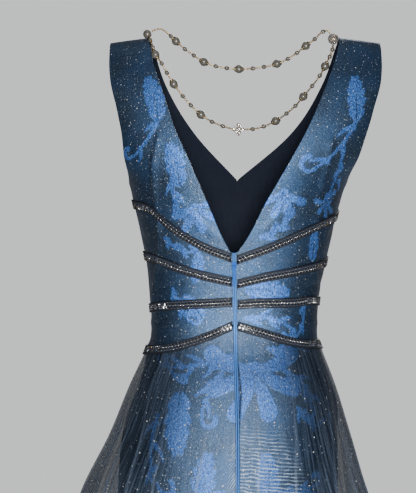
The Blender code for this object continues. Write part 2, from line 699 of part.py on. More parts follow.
# The flower charm lies just outside the lower strand, at its middle
charm_row = next(row for row in LOWER_STRAND if row.bead == "charm")
outline = bpy.data.curves.new("flower_charm", "CURVE")
outline.dimensions = "2D"
outline.fill_mode = "BOTH"
outline.extrude = CHARM_THICKNESS / 2
petals = outline.splines.new("POLY")
PETAL_POINTS = 32
petals.points.add(PETAL_POINTS - 1)
petals.use_cyclic_u = True
for i, point in enumerate(petals.points):
    turn = 2 * math.pi * i / PETAL_POINTS
    reach = CHARM_RADIUS * (0.78 + 0.22 * math.cos(4 * turn))
    point.co = (reach * math.cos(turn), reach * math.sin(turn), 0, 1)
charm = add("flower_charm", outline, JEWEL)
place = LOWER_STRAND.index(charm_row)
before, after = LOWER_STRAND[place - 1], LOWER_STRAND[place + 1]
charm_turn = math.atan2(after.y - before.y, after.x - before.x)
charm_out = WIRE_RADIUS + SEAT_GAP + CHARM_THICKNESS / 2
charm.rotation_euler = (math.pi / 2, 0, charm_turn)
charm.location = (
    charm_row.x + charm_out * math.sin(charm_turn),
    charm_row.y - charm_out * math.cos(charm_turn),
    charm_row.z,
)
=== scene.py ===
"""The looks of a full-length evening gown with a deep V back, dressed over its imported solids, in metres.

Z is up and the gown's back faces -Y, towards the camera. A drop is a distance down from the tops of the straps.
An angle goes round the gown: 0 at the centre back, 90 at the right side seam as seen from behind, 180 at the
centre front and -90, or 270, at the left side seam.
"""

import json
import math
from collections import namedtuple

import bpy
import numpy as np
from mathutils import Matrix, Vector

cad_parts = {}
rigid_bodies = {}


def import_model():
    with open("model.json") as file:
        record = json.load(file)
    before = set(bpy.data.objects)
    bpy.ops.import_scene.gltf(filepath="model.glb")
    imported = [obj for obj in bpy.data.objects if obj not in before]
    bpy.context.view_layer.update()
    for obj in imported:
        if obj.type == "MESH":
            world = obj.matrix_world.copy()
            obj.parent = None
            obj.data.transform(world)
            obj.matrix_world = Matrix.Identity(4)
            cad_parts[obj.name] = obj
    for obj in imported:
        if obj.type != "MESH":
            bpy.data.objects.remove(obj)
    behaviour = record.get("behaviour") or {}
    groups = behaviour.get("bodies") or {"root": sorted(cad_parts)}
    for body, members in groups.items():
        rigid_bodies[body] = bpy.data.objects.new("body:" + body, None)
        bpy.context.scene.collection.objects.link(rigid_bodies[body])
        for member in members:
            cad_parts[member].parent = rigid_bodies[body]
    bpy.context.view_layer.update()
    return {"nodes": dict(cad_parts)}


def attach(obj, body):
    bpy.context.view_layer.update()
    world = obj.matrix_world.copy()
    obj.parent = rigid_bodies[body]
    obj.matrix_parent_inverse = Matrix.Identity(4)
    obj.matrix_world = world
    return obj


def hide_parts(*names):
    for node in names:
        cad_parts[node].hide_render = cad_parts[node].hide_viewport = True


for old in list(bpy.data.objects):
    bpy.data.objects.remove(old)

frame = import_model()

# The studio: a pale floor under the hem, pale surroundings and soft lights. The key light stands close to the
# camera, which looks level at the gown's back from 2.4 m behind it.
VIEW_DISTANCE = 2.4
METRES_PER_PIXEL = 0.0014
PICTURE_HEIGHT = 493

camera_data = bpy.data.cameras.new("camera")
camera_data.sensor_width = 36
camera_data.lens = 36 * VIEW_DISTANCE / (PICTURE_HEIGHT * METRES_PER_PIXEL)
camera = bpy.data.objects.new("camera", camera_data)
camera.location = (-0.0518, -VIEW_DISTANCE, -0.2919)
camera.rotation_euler = (math.pi / 2, 0, 0)
bpy.context.scene.collection.objects.link(camera)
bpy.context.scene.camera = camera

world = bpy.data.worlds.new("studio")
bpy.context.scene.world = world
world.use_nodes = True
surroundings = world.node_tree.nodes["Background"]
surroundings.inputs["Color"].default_value = (0.82, 0.85, 0.90, 1)
surroundings.inputs["Strength"].default_value = 0.09
backdrop = world.node_tree.nodes.new("ShaderNodeBackground")
backdrop.inputs["Color"].default_value = (0.80, 0.81, 0.82, 1)
seen = world.node_tree.nodes.new("ShaderNodeLightPath")
either = world.node_tree.nodes.new("ShaderNodeMixShader")
world.node_tree.links.new(seen.outputs["Is Camera Ray"], either.inputs["Fac"])
world.node_tree.links.new(surroundings.outputs["Background"], either.inputs[1])
world.node_tree.links.new(backdrop.outputs["Background"], either.inputs[2])
world.node_tree.links.new(either.outputs["Shader"], world.node_tree.nodes["World Output"].inputs["Surface"])

Lamp = namedtuple("Lamp", "name place target side power")
LAMPS = (
    Lamp("key", (0.02, -2.30, -0.30), (-0.03, -0.10, -0.46), 0.45, 66),
    Lamp("left_fill", (-1.60, -2.20, 0.60), (0.0, 0.0, -0.40), 1.20, 2),
    Lamp("right_fill", (1.60, -2.20, 0.80), (0.0, 0.0, -0.40), 1.20, 2),
    Lamp("front", (0.60, 2.60, 0.70), (0.0, 0.0, -0.50), 1.30, 34),
    Lamp("overhead", (0.0, -0.30, 2.40), (0.0, 0.0, -0.50), 1.60, 8),
)
for lamp in LAMPS:
    light = bpy.data.lights.new(lamp.name, "AREA")
    light.size = lamp.side
    light.energy = lamp.power
    stand = bpy.data.objects.new(lamp.name, light)
    stand.location = lamp.place
    stand.rotation_euler = (Vector(lamp.target) - Vector(lamp.place)).to_track_quat("-Z", "Y").to_euler()
    bpy.context.scene.collection.objects.link(stand)


def new_finish(name, colour, roughness, metallic=0.0):
    """A material, with the values of its shader that are the same all over."""
    made = bpy.data.materials.new(name)
    made.use_nodes = True
    shader = made.node_tree.nodes["Principled BSDF"]
    shader.inputs["Base Color"].default_value = (*colour, 1)
    shader.inputs["Roughness"].default_value = roughness
    shader.inputs["Metallic"].default_value = metallic
    return made, shader


def put(finish, kind, inputs=(), **settings):
    """Adds a node to a finish. Each input is given a value, or joined to another node's output."""
    made = finish.node_tree.nodes.new(kind)
    for key, value in settings.items():
        setattr(made, key, value)
    for key, value in dict(inputs).items():
        if isinstance(value, bpy.types.NodeSocket):
            finish.node_tree.links.new(value, made.inputs[key])
        else:
            made.inputs[key].default_value = value
    return made


def join_to(finish, output, shader, name):
    finish.node_tree.links.new(output, shader.inputs[name])


def noise(finish, scale, detail=2.0, stretch=None):
    """Even, cloudy values from 0 to 1 over a piece, stretched where asked."""
    place = put(finish, "ShaderNodeTexCoord").outputs["Object"]
    if stretch:
        place = put(finish, "ShaderNodeMapping", {"Vector": place, "Scale": stretch}).outputs["Vector"]
    made = put(finish, "ShaderNodeTexNoise", {"Vector": place, "Scale": scale, "Detail": detail})
    return made.outputs["Fac"]


def math_node(finish, operation, first, second=0.0, clamp=False):
    return put(finish, "ShaderNodeMath", {0: first, 1: second}, operation=operation, use_clamp=clamp).outputs[0]


def spread(finish, value, low, high, start=0.0, end=1.0):
    """Turns a value from low to high into one from start to end."""
    inputs = {"Value": value, "From Min": low, "From Max": high, "To Min": start, "To Max": end}
    return put(finish, "ShaderNodeMapRange", inputs).outputs["Result"]


def blend(finish, share, first, second):
    """A colour between two colours."""
    made = put(finish, "ShaderNodeMix", data_type="RGBA")
    for index, value in ((0, share), (6, first), (7, second)):
        if isinstance(value, bpy.types.NodeSocket):
            finish.node_tree.links.new(value, made.inputs[index])
        else:
            made.inputs[index].default_value = value if index == 0 else (*value, 1)
    return made.outputs[2]


def bump(finish, shader, height, strength, distance):
    inputs = {"Height": height, "Strength": strength, "Distance": distance}
    made = put(finish, "ShaderNodeBump", inputs)
    join_to(finish, made.outputs["Normal"], shader, "Normal")


floor_finish, floor_shader = new_finish("pale_floor", (0.74, 0.74, 0.73), 0.6)
join_to(
    floor_finish,
    blend(floor_finish, noise(floor_finish, 6.0), (0.72, 0.72, 0.71), (0.76, 0.76, 0.75)),
    floor_shader,
    "Base Color",
)
floor_mesh = bpy.data.meshes.new("floor")
FLOOR_HALF, FLOOR_LEVEL = 3.3, -1.4515
floor_corners = [(x * FLOOR_HALF, y * FLOOR_HALF, FLOOR_LEVEL) for x, y in ((-1, -1), (1, -1), (1, 1), (-1, 1))]
floor_mesh.from_pydata(floor_corners, [], [(0, 1, 2, 3)])
floor_mesh.materials.append(floor_finish)
floor = bpy.data.objects.new("floor", floor_mesh)
bpy.context.scene.collection.objects.link(floor)

# The two pearl strands: cream imitation pearls of two sizes on fine gold wire, each between two small gold caps,
# with wire-wrapped loops between them. They hang from the straps' corners across the open back.
BeadRow = namedtuple("BeadRow", "x y z bead")
WIRE_RADIUS = 0.0009
PEARL_RADII = {"small": 0.0032, "large": 0.0060}
CHARM_HALF_WIDTH = 0.0085
UPPER_STRAND = (
    BeadRow(-0.1301, -0.0154, 0.0067, "wire"),
    BeadRow(-0.1250, -0.0150, 0.0098, "wire"),
    BeadRow(-0.1190, -0.0146, 0.0108, "wire"),
    BeadRow(-0.1130, -0.0142, 0.0086, "wire"),
    BeadRow(-0.1033, -0.0140, 0.0009, "small"),
    BeadRow(-0.0963, -0.0140, -0.0061, "large"),
    BeadRow(-0.0838, -0.0140, -0.0172, "small"),
    BeadRow(-0.0713, -0.0140, -0.0260, "small"),
    BeadRow(-0.0574, -0.0140, -0.0350, "large"),
    BeadRow(-0.0407, -0.0140, -0.0410, "small"),
    BeadRow(-0.0254, -0.0140, -0.0437, "small"),
    BeadRow(-0.0087, -0.0140, -0.0450, "large"),
    BeadRow(0.0108, -0.0140, -0.0441, "small"),
    BeadRow(0.0261, -0.0140, -0.0419, "small"),
    BeadRow(0.0442, -0.0140, -0.0375, "large"),
    BeadRow(0.0595, -0.0140, -0.0306, "small"),
    BeadRow(0.0720, -0.0140, -0.0225, "small"),
    BeadRow(0.0845, -0.0140, -0.0125, "large"),
    BeadRow(0.0970, -0.0140, -0.0030, "small"),
    BeadRow(0.1085, -0.0140, 0.0072, "small"),
    BeadRow(0.1140, -0.0140, 0.0085, "wire"),
    BeadRow(0.1185, -0.0140, 0.0042, "wire"),
)
LOWER_STRAND = (
    BeadRow(-0.1342, -0.0213, -0.0005, "wire"),
    BeadRow(-0.1312, -0.0305, -0.0071, "small"),
    BeadRow(-0.1276, -0.0430, -0.0182, "small"),
    BeadRow(-0.1235, -0.0550, -0.0292, "large"),
    BeadRow(-0.1150, -0.0560, -0.0415, "small"),
    BeadRow(-0.1080, -0.0540, -0.0541, "small"),
    BeadRow(-0.0987, -0.0520, -0.0692, "large"),
    BeadRow(-0.0863, -0.0490, -0.0855, "small"),
    BeadRow(-0.0752, -0.0470, -0.0980, "small"),
    BeadRow(-0.0615, -0.0440, -0.1106, "large"),
    BeadRow(-0.0463, -0.0410, -0.1202, "small"),
    BeadRow(-0.0311, -0.0380, -0.1260, "small"),
    BeadRow(-0.0104, -0.0340, -0.1305, "charm"),
    BeadRow(0.0102, -0.0310, -0.1295, "small"),
    BeadRow(0.0254, -0.0290, -0.1257, "small"),
    BeadRow(0.0420, -0.0260, -0.1180, "large"),
    BeadRow(0.0571, -0.0240, -0.1075, "small"),
    BeadRow(0.0696, -0.0220, -0.0965, "small"),
    BeadRow(0.0806, -0.0200, -0.0835, "large"),
    BeadRow(0.0930, -0.0180, -0.0688, "small"),
    BeadRow(0.1035, -0.0170, -0.0545, "small"),
    BeadRow(0.1110, -0.0160, -0.0410, "large"),
    BeadRow(0.1175, -0.0150, -0.0278, "small"),
    BeadRow(0.1212, -0.0145, -0.0180, "small"),
    BeadRow(0.1222, -0.0140, -0.0113, "wire"),
)

gold_finish, gold_shader = new_finish("gold_wire", (0.62, 0.44, 0.22), 0.28, 1.0)
join_to(
    gold_finish,
    blend(gold_finish, noise(gold_finish, 900.0), (0.20, 0.115, 0.045), (0.58, 0.43, 0.22)),
    gold_shader,
    "Base Color",
)
bump(gold_finish, gold_shader, noise(gold_finish, 1400.0), 0.5, 0.0003)

# The pearls' dark grey body is painted shade: the cream pearls are coloured as if they mirrored dark surroundings
pearl_finish, pearl_shader = new_finish("pearl", (0.11, 0.10, 0.08), 0.28)
cloudy = noise(pearl_finish, 260.0)
pearl_painted_shade_colour = blend(pearl_finish, cloudy, (0.075, 0.070, 0.056), (0.145, 0.135, 0.110))
join_to(pearl_finish, pearl_painted_shade_colour, pearl_shader, "Base Color")
pearl_shader.inputs["Coat Weight"].default_value = 1.0
pearl_shader.inputs["Coat Roughness"].default_value = 0.08
bump(pearl_finish, pearl_shader, cloudy, 0.08, 0.0004)

crystal_finish, crystal_shader = new_finish("clear_stone", (0.93, 0.94, 0.97), 0.09, 0.75)
# Painted reflections: the clear stones' colour breaks into near-black and white patches for their facets' glints
facets_and_painted_glints = noise(crystal_finish, 1500.0, 0.0)
join_to(crystal_finish, blend(crystal_finish, facets_and_painted_glints, (0.12, 0.12, 0.14), (1.0, 1.0, 1.0)), crystal_shader, "Base Color")
crystal_shader.inputs["Coat Weight"].default_value = 1.0
bump(crystal_finish, crystal_shader, facets_and_painted_glints, 0.4, 0.0005)


def smooth_line(places, values):
    """A smooth line through the rows of a table, which never swings past them."""
    places, values = np.array(places, float), np.array(values, float)
    steps, rises = np.diff(places), np.diff(values) / np.diff(places)
    slopes = np.empty_like(values)
    slopes[0], slopes[-1] = rises[0], rises[-1]
    before, after = rises[:-1], rises[1:]
    even = (before * steps[1:] + after * steps[:-1]) / (steps[:-1] + steps[1:])
    least = np.minimum(np.minimum(abs(before), abs(after)), 0.5 * abs(even))
    slopes[1:-1] = (np.sign(before) + np.sign(after)) * least

    def line(place):
        place = np.asarray(place, float)
        i = np.searchsorted(places[1:-1], place, side="left")
        s = np.clip(place - places[i], 0.0, steps[i])
        bend = (slopes[i] + slopes[i + 1] - 2 * rises[i]) / steps[i] ** 2
        lean = (3 * rises[i] - 2 * slopes[i] - slopes[i + 1]) / steps[i]
        return ((bend * s + lean) * s + slopes[i]) * s + values[i]

    return line


def add(name, mesh, *finishes):
    made = bpy.data.objects.new(name, mesh)
    bpy.context.scene.collection.objects.link(made)
    for finish in finishes:
        made.data.materials.append(finish)
    return made


def lathe(name, profile, sides, smooth=True):
    """A small turned shape round Z, from rows of radius and height. A radius of 0 closes it."""
    points, faces, rings = [], [], []
    for radius, height in profile:
        count = 1 if radius == 0 else sides
        rings.append(range(len(points), len(points) + count))
        for k in range(count):
            turn = 2 * math.pi * (k + 0.5) / sides
            points.append((radius * math.cos(turn), radius * math.sin(turn), height))
    for lower, upper in zip(rings, rings[1:]):
        for k in range(sides):
            a, b = lower[k % len(lower)], lower[(k + 1) % len(lower)]
            c, d = upper[(k + 1) % len(upper)], upper[k % len(upper)]
            faces.append([a, b, c, d] if len({a, b, c, d}) == 4 else list(dict.fromkeys((a, b, c, d))))
    mesh = bpy.data.meshes.new(name)
    mesh.from_pydata(points, [], faces)
    if smooth:
        mesh.shade_smooth()
    return mesh


# The tree that sets copies of one small shape on points, each turned and sized by the point's own attributes
setting = bpy.data.node_groups.new("set_on_points", "GeometryNodeTree")
for socket_name, kind in (("Points", "Geometry"), ("Shape", "Object"), ("Finish", "Material")):
    setting.interface.new_socket(socket_name, in_out="INPUT", socket_type=f"NodeSocket{kind}")
setting.interface.new_socket("Set", in_out="OUTPUT", socket_type="NodeSocketGeometry")


def tree_node(kind, inputs=(), **settings):
    made = setting.nodes.new(kind)
    for key, value in settings.items():
        setattr(made, key, value)
    for key, value in dict(inputs).items():
        if isinstance(value, bpy.types.NodeSocket):
            setting.links.new(value, made.inputs[key])
        else:
            made.inputs[key].default_value = value
    return made


given = tree_node("NodeGroupInput")
shape = tree_node("GeometryNodeObjectInfo", {"Object": given.outputs["Shape"]})
turn = tree_node("GeometryNodeInputNamedAttribute", {"Name": "turn"}, data_type="QUATERNION")
size = tree_node("GeometryNodeInputNamedAttribute", {"Name": "size"}, data_type="FLOAT_VECTOR")
copies = tree_node(
    "GeometryNodeInstanceOnPoints",
    {
        "Points": given.outputs["Points"],
        "Instance": shape.outputs["Geometry"],
        "Rotation": next(s for s in turn.outputs if s.enabled and s.name == "Attribute"),
        "Scale": next(s for s in size.outputs if s.enabled and s.name == "Attribute"),
    },
)
real = tree_node("GeometryNodeRealizeInstances", {"Geometry": copies.outputs["Instances"]})
finished_inputs = {"Geometry": real.outputs["Geometry"], "Material": given.outputs["Finish"]}
finished = tree_node("GeometryNodeSetMaterial", finished_inputs)
tree_node("NodeGroupOutput", {"Set": finished.outputs["Geometry"]})
SETTING_INPUTS = {item.name: item.identifier for item in setting.interface.items_tree if item.in_out == "INPUT"}


def turned(out, along):
    """The turn that points a shape's Z out and its X along."""
    out = Vector(out).normalized()
    side = out.cross(Vector(along)).normalized()
    return Matrix((side.cross(out), side, out)).transposed().to_quaternion()


def set_on_points(name, shape_mesh, places, turns, sizes, finish):
    """Copies of a small shape at the places, as one plain mesh."""
    mesh = bpy.data.meshes.new(name)
    mesh.from_pydata([tuple(place) for place in places], [], [])
    mesh.attributes.new("turn", "QUATERNION", "POINT").data.foreach_set("value", np.array(turns, float).ravel())
    sizes = np.array([(s, s, s) if np.isscalar(s) else tuple(s) for s in sizes], float)
    mesh.attributes.new("size", "FLOAT_VECTOR", "POINT").data.foreach_set("vector", sizes.ravel())
    holder = add(name + "_points", mesh)
    sample = add(name + "_sample", shape_mesh)
    step = holder.modifiers.new("setting", "NODES")
    step.node_group = setting
    step[SETTING_INPUTS["Shape"]] = sample
    step[SETTING_INPUTS["Finish"]] = finish
    depsgraph = bpy.context.evaluated_depsgraph_get()
    made = add(name, bpy.data.meshes.new_from_object(holder.evaluated_get(depsgraph)))
    bpy.data.objects.remove(holder)
    bpy.data.objects.remove(sample)
    return made


def joined(name, parts):
    """Several plain meshes as one piece."""
    with bpy.context.temp_override(active_object=parts[0], selected_editable_objects=parts):
        bpy.ops.object.join()
    parts[0].name = name
    parts[0].data.name = name
    return parts[0]


pearl_profile = [(math.sin(a), -math.cos(a)) for a in np.linspace(0, math.pi, 13)[1:-1]]
pearl_shape = lathe("pearl", [(0, -1.0), *pearl_profile, (0, 1.0)], 20)
cap_profile = [(0.0, 0.0), (0.36, 0.02), (0.62, 0.16), (0.70, 0.36), (0.60, 0.38), (0.40, 0.22), (0.0, 0.16)]
cap_shape = lathe("cap", cap_profile, 10)
loop_shape = lathe(
    "loop",
    [(0.0, -1.5), (0.7, -1.35), (1.0, -0.9), (0.65, -0.45), (1.0, 0.0)]
    + [(0.65, 0.45), (1.0, 0.9), (0.7, 1.35), (0.0, 1.5)],
    8,
)


def pearl_strand(name, node, rows):
    """The wire of a strand as a cord, and its beads, caps and loops as one piece on it."""
    points = np.array([row[:3] for row in rows])
    places = np.concatenate([[0], np.cumsum(np.linalg.norm(np.diff(points, axis=0), axis=1))])
    lines = [smooth_line(places, points[:, axis]) for axis in range(3)]

    def route(place):
        return np.stack([line(place) for line in lines], axis=-1)

    wire = bpy.data.curves.new(name, "CURVE")
    wire.dimensions = "3D"
    wire.bevel_depth = WIRE_RADIUS
    wire.bevel_resolution = 2
    wire.use_fill_caps = True
    spline = wire.splines.new("POLY")
    course = route(np.linspace(0, places[-1], 150))
    spline.points.add(len(course) - 1)
    spline.points.foreach_set("co", np.hstack([course, np.ones((len(course), 1))]).ravel())
    cord = add(name, wire, gold_finish)
    pearls, caps, loops = [], [], []
    for row, place in zip(rows, places):
        radius = PEARL_RADII.get(row.bead)
        if radius is None:
            continue
        here = route(place)
        along = route(place + 0.001) - route(place - 0.001)
        along /= np.linalg.norm(along)
        pearls.append((here, turned(along, (0.0, 1.0, 0.1)), radius))
        for side in (-1, 1):
            caps.append((here + side * along * radius * 1.16, turned(-side * along, (0.0, 1.0, 0.1)), radius * 0.86))
    marks = [place for row, place in zip(rows, places) if row.bead != "wire"]
    radii = [PEARL_RADII.get(row.bead, CHARM_HALF_WIDTH) for row in rows if row.bead != "wire"]
    spans = list(zip(marks, marks[1:], radii, radii[1:]))
    spans.insert(0, (0.0, marks[0], 0.0, radii[0]))
    spans.append((marks[-1], places[-1], radii[-1], 0.0))
    for start, end, before, after in spans:
        low, high = start + before * 1.2, end - after * 1.2
        count = max(int((high - low) / 0.0042), 1)
        for k in range(count):
            place = low + (high - low) * (k + 0.5) / count
            along = route(place + 0.0008) - route(place - 0.0008)
            loops.append((route(place), turned(along, (0.2, 1.0, 0.3)), 0.00145))
    beads = joined(
        name + "_beads",
        [
            set_on_points(name + "_pearls", pearl_shape, *zip(*pearls), pearl_finish),
            set_on_points(name + "_caps", cap_shape, *zip(*caps), gold_finish),
            set_on_points(name + "_loops", loop_shape, *zip(*loops), gold_finish),
        ],
    )
    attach(cord, "gown")
    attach(beads, "gown")
    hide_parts(node)
    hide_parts(node)
    length = float(np.linalg.norm(np.diff(course, axis=0), axis=1).sum())
    return cord, beads, course, length


upper_wire, upper_beads, upper_course, upper_length = pearl_strand("upper_strand", "pearl_strand_upper", UPPER_STRAND)
lower_wire, lower_beads, lower_course, lower_length = pearl_strand("lower_strand", "pearl_strand_lower", LOWER_STRAND)

# The charm on the lower strand: a four-petal flower of claw-set clear stones on a gold back, in front of the wire
CHARM_PLACE = Vector((-0.00995, -0.03666, -0.1305))
CHARM_TURN = math.atan2(-0.0310 + 0.0380, 0.0102 + 0.0311)
charm_out = Vector((math.sin(CHARM_TURN), -math.cos(CHARM_TURN), 0.0))
charm_along = Vector((math.cos(CHARM_TURN), math.sin(CHARM_TURN), 0.0))
charm_up = Vector((0.0, 0.0, 1.0))
stone_profile = [(0.0, -0.35), (0.95, -0.1), (1.0, 0.05), (0.62, 0.42), (0.0, 0.42)]
stone_shape = lathe("round_stone", stone_profile, 8, smooth=False)
claw_shape = lathe("claw", [(0.0, -0.6), (1.1, -0.6), (1.12, 0.0), (0.98, 0.12), (0.9, -0.2), (0.0, -0.3)], 12)
charm_stones = [(CHARM_PLACE - charm_out * 0.0002, turned(charm_out, charm_along), 0.0026)]
for k in range(4):
    reach = charm_along * math.cos(k * math.pi / 2) + charm_up * math.sin(k * math.pi / 2)
    across = charm_along * -math.sin(k * math.pi / 2) + charm_up * math.cos(k * math.pi / 2)
    charm_stones.append((CHARM_PLACE + reach * 0.0062, turned(charm_out, charm_along), 0.0023))
    for side in (-1, 1):
        place = CHARM_PLACE + reach * 0.0038 + across * side * 0.0021
        charm_stones.append((place, turned(charm_out, charm_along), 0.0016))
charm = joined(
    "flower_of_stones",
    [
        set_on_points("charm_stones", stone_shape, *zip(*charm_stones), crystal_finish),
        set_on_points("charm_claws", claw_shape, *zip(*charm_stones), gold_finish),
    ],
)
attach(charm, "gown")
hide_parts("flower_charm")
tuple(upper_course[0])
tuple(lower_course[0])

# The strap fixings: one large pearl in a gold cup at the left strap's corner, and at the right one a gold ball
# set all over with small clear stones
CORNER_PEARL_PLACE = Vector((-0.13603, -0.01607, 0.00335))
CORNER_PEARL_RADIUS = 0.0064
JEWEL_BALL_PLACE = Vector((0.1226, -0.0140, -0.0030))
JEWEL_BALL_RADIUS = 0.0080
corner = joined(
    "corner_pearl_set",
    [
        set_on_points(
            "corner_ball", pearl_shape, [CORNER_PEARL_PLACE], [(1, 0, 0, 0)], [CORNER_PEARL_RADIUS * 0.97], pearl_finish
        ),
        set_on_points(
            "corner_cup", cap_shape, [CORNER_PEARL_PLACE - Vector((0.0012, -0.0044, 0.0044))],
            [turned((0.19, -0.69, 0.69), (1.0, 0.0, 0.0))], [0.0058], gold_finish,
        ),
    ],
)
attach(corner, "gown")
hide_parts("corner_pearl")

pave_places, pave_turns = [], []
PAVE_STONES = 90
for k in range(PAVE_STONES):
    height = 1 - 2 * (k + 0.5) / PAVE_STONES
    turn_angle = math.pi * (3 - math.sqrt(5)) * k
    level = math.sqrt(1 - height * height)
    out = Vector((level * math.cos(turn_angle), level * math.sin(turn_angle), height))
    pave_places.append(JEWEL_BALL_PLACE + out * JEWEL_BALL_RADIUS * 0.90)
    pave_turns.append(turned(out, (0.3, 0.2, 1.0)))
jewel = joined(
    "jewelled_ball",
    [
        set_on_points(
            "ball_core", pearl_shape, [JEWEL_BALL_PLACE], [(1, 0, 0, 0)], [JEWEL_BALL_RADIUS * 0.90], gold_finish
        ),
        set_on_points("ball_stones", stone_shape, pave_places, pave_turns, [0.00125] * PAVE_STONES, crystal_finish),
    ],
)
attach(jewel, "gown")
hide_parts("jewel_ball")

# The bodice: damask with steel-blue ground and brighter blue scrolling leaves, flecked with glitter whose white flecks
# are painted glints, over a dark lining coloured near black as painted shade inside the gown. Two back pieces meet at
# the zip, each with a soft dart line, and a front meets them at the side seams and on the shoulders.
Ring = namedtuple("Ring", "drop half_width centre back front")
GOWN_RINGS = (
    Ring(0.000, 0.2220, 0.0000, 0.0008, 0.0008),
    Ring(0.003, 0.2222, 0.0000, 0.0180, 0.0160),
    Ring(0.012, 0.2225, 0.0000, 0.0360, 0.0320),
    Ring(0.030, 0.2225, 0.0000, 0.0540, 0.0470),
    Ring(0.060, 0.2200, 0.0000, 0.0740, 0.0610),
    Ring(0.100, 0.2090, -0.0007, 0.0900, 0.0750),
    Ring(0.134, 0.1980, -0.0022, 0.0980, 0.0880),
    Ring(0.167, 0.1810, -0.0057, 0.1015, 0.0990),
    Ring(0.205, 0.1520, -0.0102, 0.1010, 0.1100),
    Ring(0.232, 0.1440, -0.0116, 0.0980, 0.1150),
    Ring(0.283, 0.1320, -0.0120, 0.0890, 0.1080),
    Ring(0.316, 0.1250, -0.0126, 0.0830, 0.0990),
    Ring(0.367, 0.1180, -0.0150, 0.0760, 0.0890),
    Ring(0.400, 0.1158, -0.0150, 0.0740, 0.0860),
    Ring(0.417, 0.1165, -0.0154, 0.0755, 0.0865),
    Ring(0.434, 0.1225, -0.0155, 0.0790, 0.0880),
    Ring(0.484, 0.1435, -0.0175, 0.0965, 0.0965),
    Ring(0.552, 0.1680, -0.0210, 0.1200, 0.1130),
    Ring(0.636, 0.2015, -0.0290, 0.1490, 0.1430),
    Ring(1.000, 0.3200, -0.0250, 0.2700, 0.2600),
    Ring(1.450, 0.4300, -0.0150, 0.3850, 0.3700),
)
FoldRow = namedtuple("FoldRow", "waist_angle knee_angle hem_angle width knee_height hem_height")
OVERLAY_FOLDS = (
    FoldRow(-84, -76, -72, 6.0, 0.0040, 0.0200),
    FoldRow(-78, -65, -61, 6.0, -0.0060, -0.0120),
    FoldRow(-73, -53, -49, 6.5, 0.0070, 0.0240),
    FoldRow(-60, -41, -37, 6.5, 0.0050, 0.0200),
    FoldRow(-45, -29, -25, 7.0, 0.0030, 0.0190),
    FoldRow(-12, -12, -12, 7.0, 0.0000, 0.0200),
    FoldRow(12, 13, 13, 7.0, 0.0000, 0.0190),
    FoldRow(40, 28, 26, 7.0, 0.0015, 0.0180),
    FoldRow(76, 46, 42, 6.5, 0.0080, 0.0240),
    FoldRow(81, 61, 56, 6.0, -0.0090, -0.0160),
    FoldRow(86, 71, 69, 6.5, 0.0080, 0.0230),
    FoldRow(103, 105, 106, 7.5, 0.0065, 0.0240),
    FoldRow(122, 124, 125, 7.0, 0.0050, 0.0210),
    FoldRow(140, 143, 144, 7.5, 0.0060, 0.0240),
    FoldRow(161, 162, 163, 7.0, 0.0040, 0.0200),
    FoldRow(183, 182, 182, 7.5, 0.0055, 0.0230),
    FoldRow(206, 203, 202, 7.0, 0.0045, 0.0200),
    FoldRow(226, 223, 221, 7.5, 0.0065, 0.0240),
    FoldRow(249, 245, 243, 7.0, 0.0060, 0.0220),
)
FOLD_KNEE_DROP = 0.64
FOLD_START_DROP = 0.44
OVERLAY_HEM_DROP = 1.45
SHOULDER_FALL = 0.020
BACK_ROUNDNESS = 0.15
SEAM_GAP = 0.0009
WAIST_GAP = 0.0010
WAIST_DROP = 0.425
UNDERARM_DROP = 0.205
BACK_NECK_DROP = 0.301
FRONT_NECK_DROP = 0.195


def off_fold(fold, angle, above, below):
    """How many degrees a place is from a fold's middle line."""
    middle = fold.waist_angle + (fold.knee_angle - fold.waist_angle) * above**0.5
    middle = middle + (fold.hem_angle - fold.knee_angle) * below
    return (angle - middle + 180) % 360 - 180


def fold_shares(drop):
    """How far down the folds a drop is: from their start to the knee, and from the knee to the hem."""
    above = np.clip((drop - FOLD_START_DROP) / (FOLD_KNEE_DROP - FOLD_START_DROP), 0.0, 1.0)
    below = np.maximum((drop - FOLD_KNEE_DROP) / (OVERLAY_HEM_DROP - FOLD_KNEE_DROP), 0.0)
    return above, below


def fold_height(folds, angle, drop):
    """How far the folds push the cloth out."""
    above, below = fold_shares(drop)
    total = np.zeros(np.broadcast(angle, drop).shape)
    for fold in folds:
        height = fold.knee_height * above**1.5 + (fold.hem_height - fold.knee_height) * below
        total += height * np.exp(-((off_fold(fold, angle, above, below) / fold.width) ** 2))
    return total


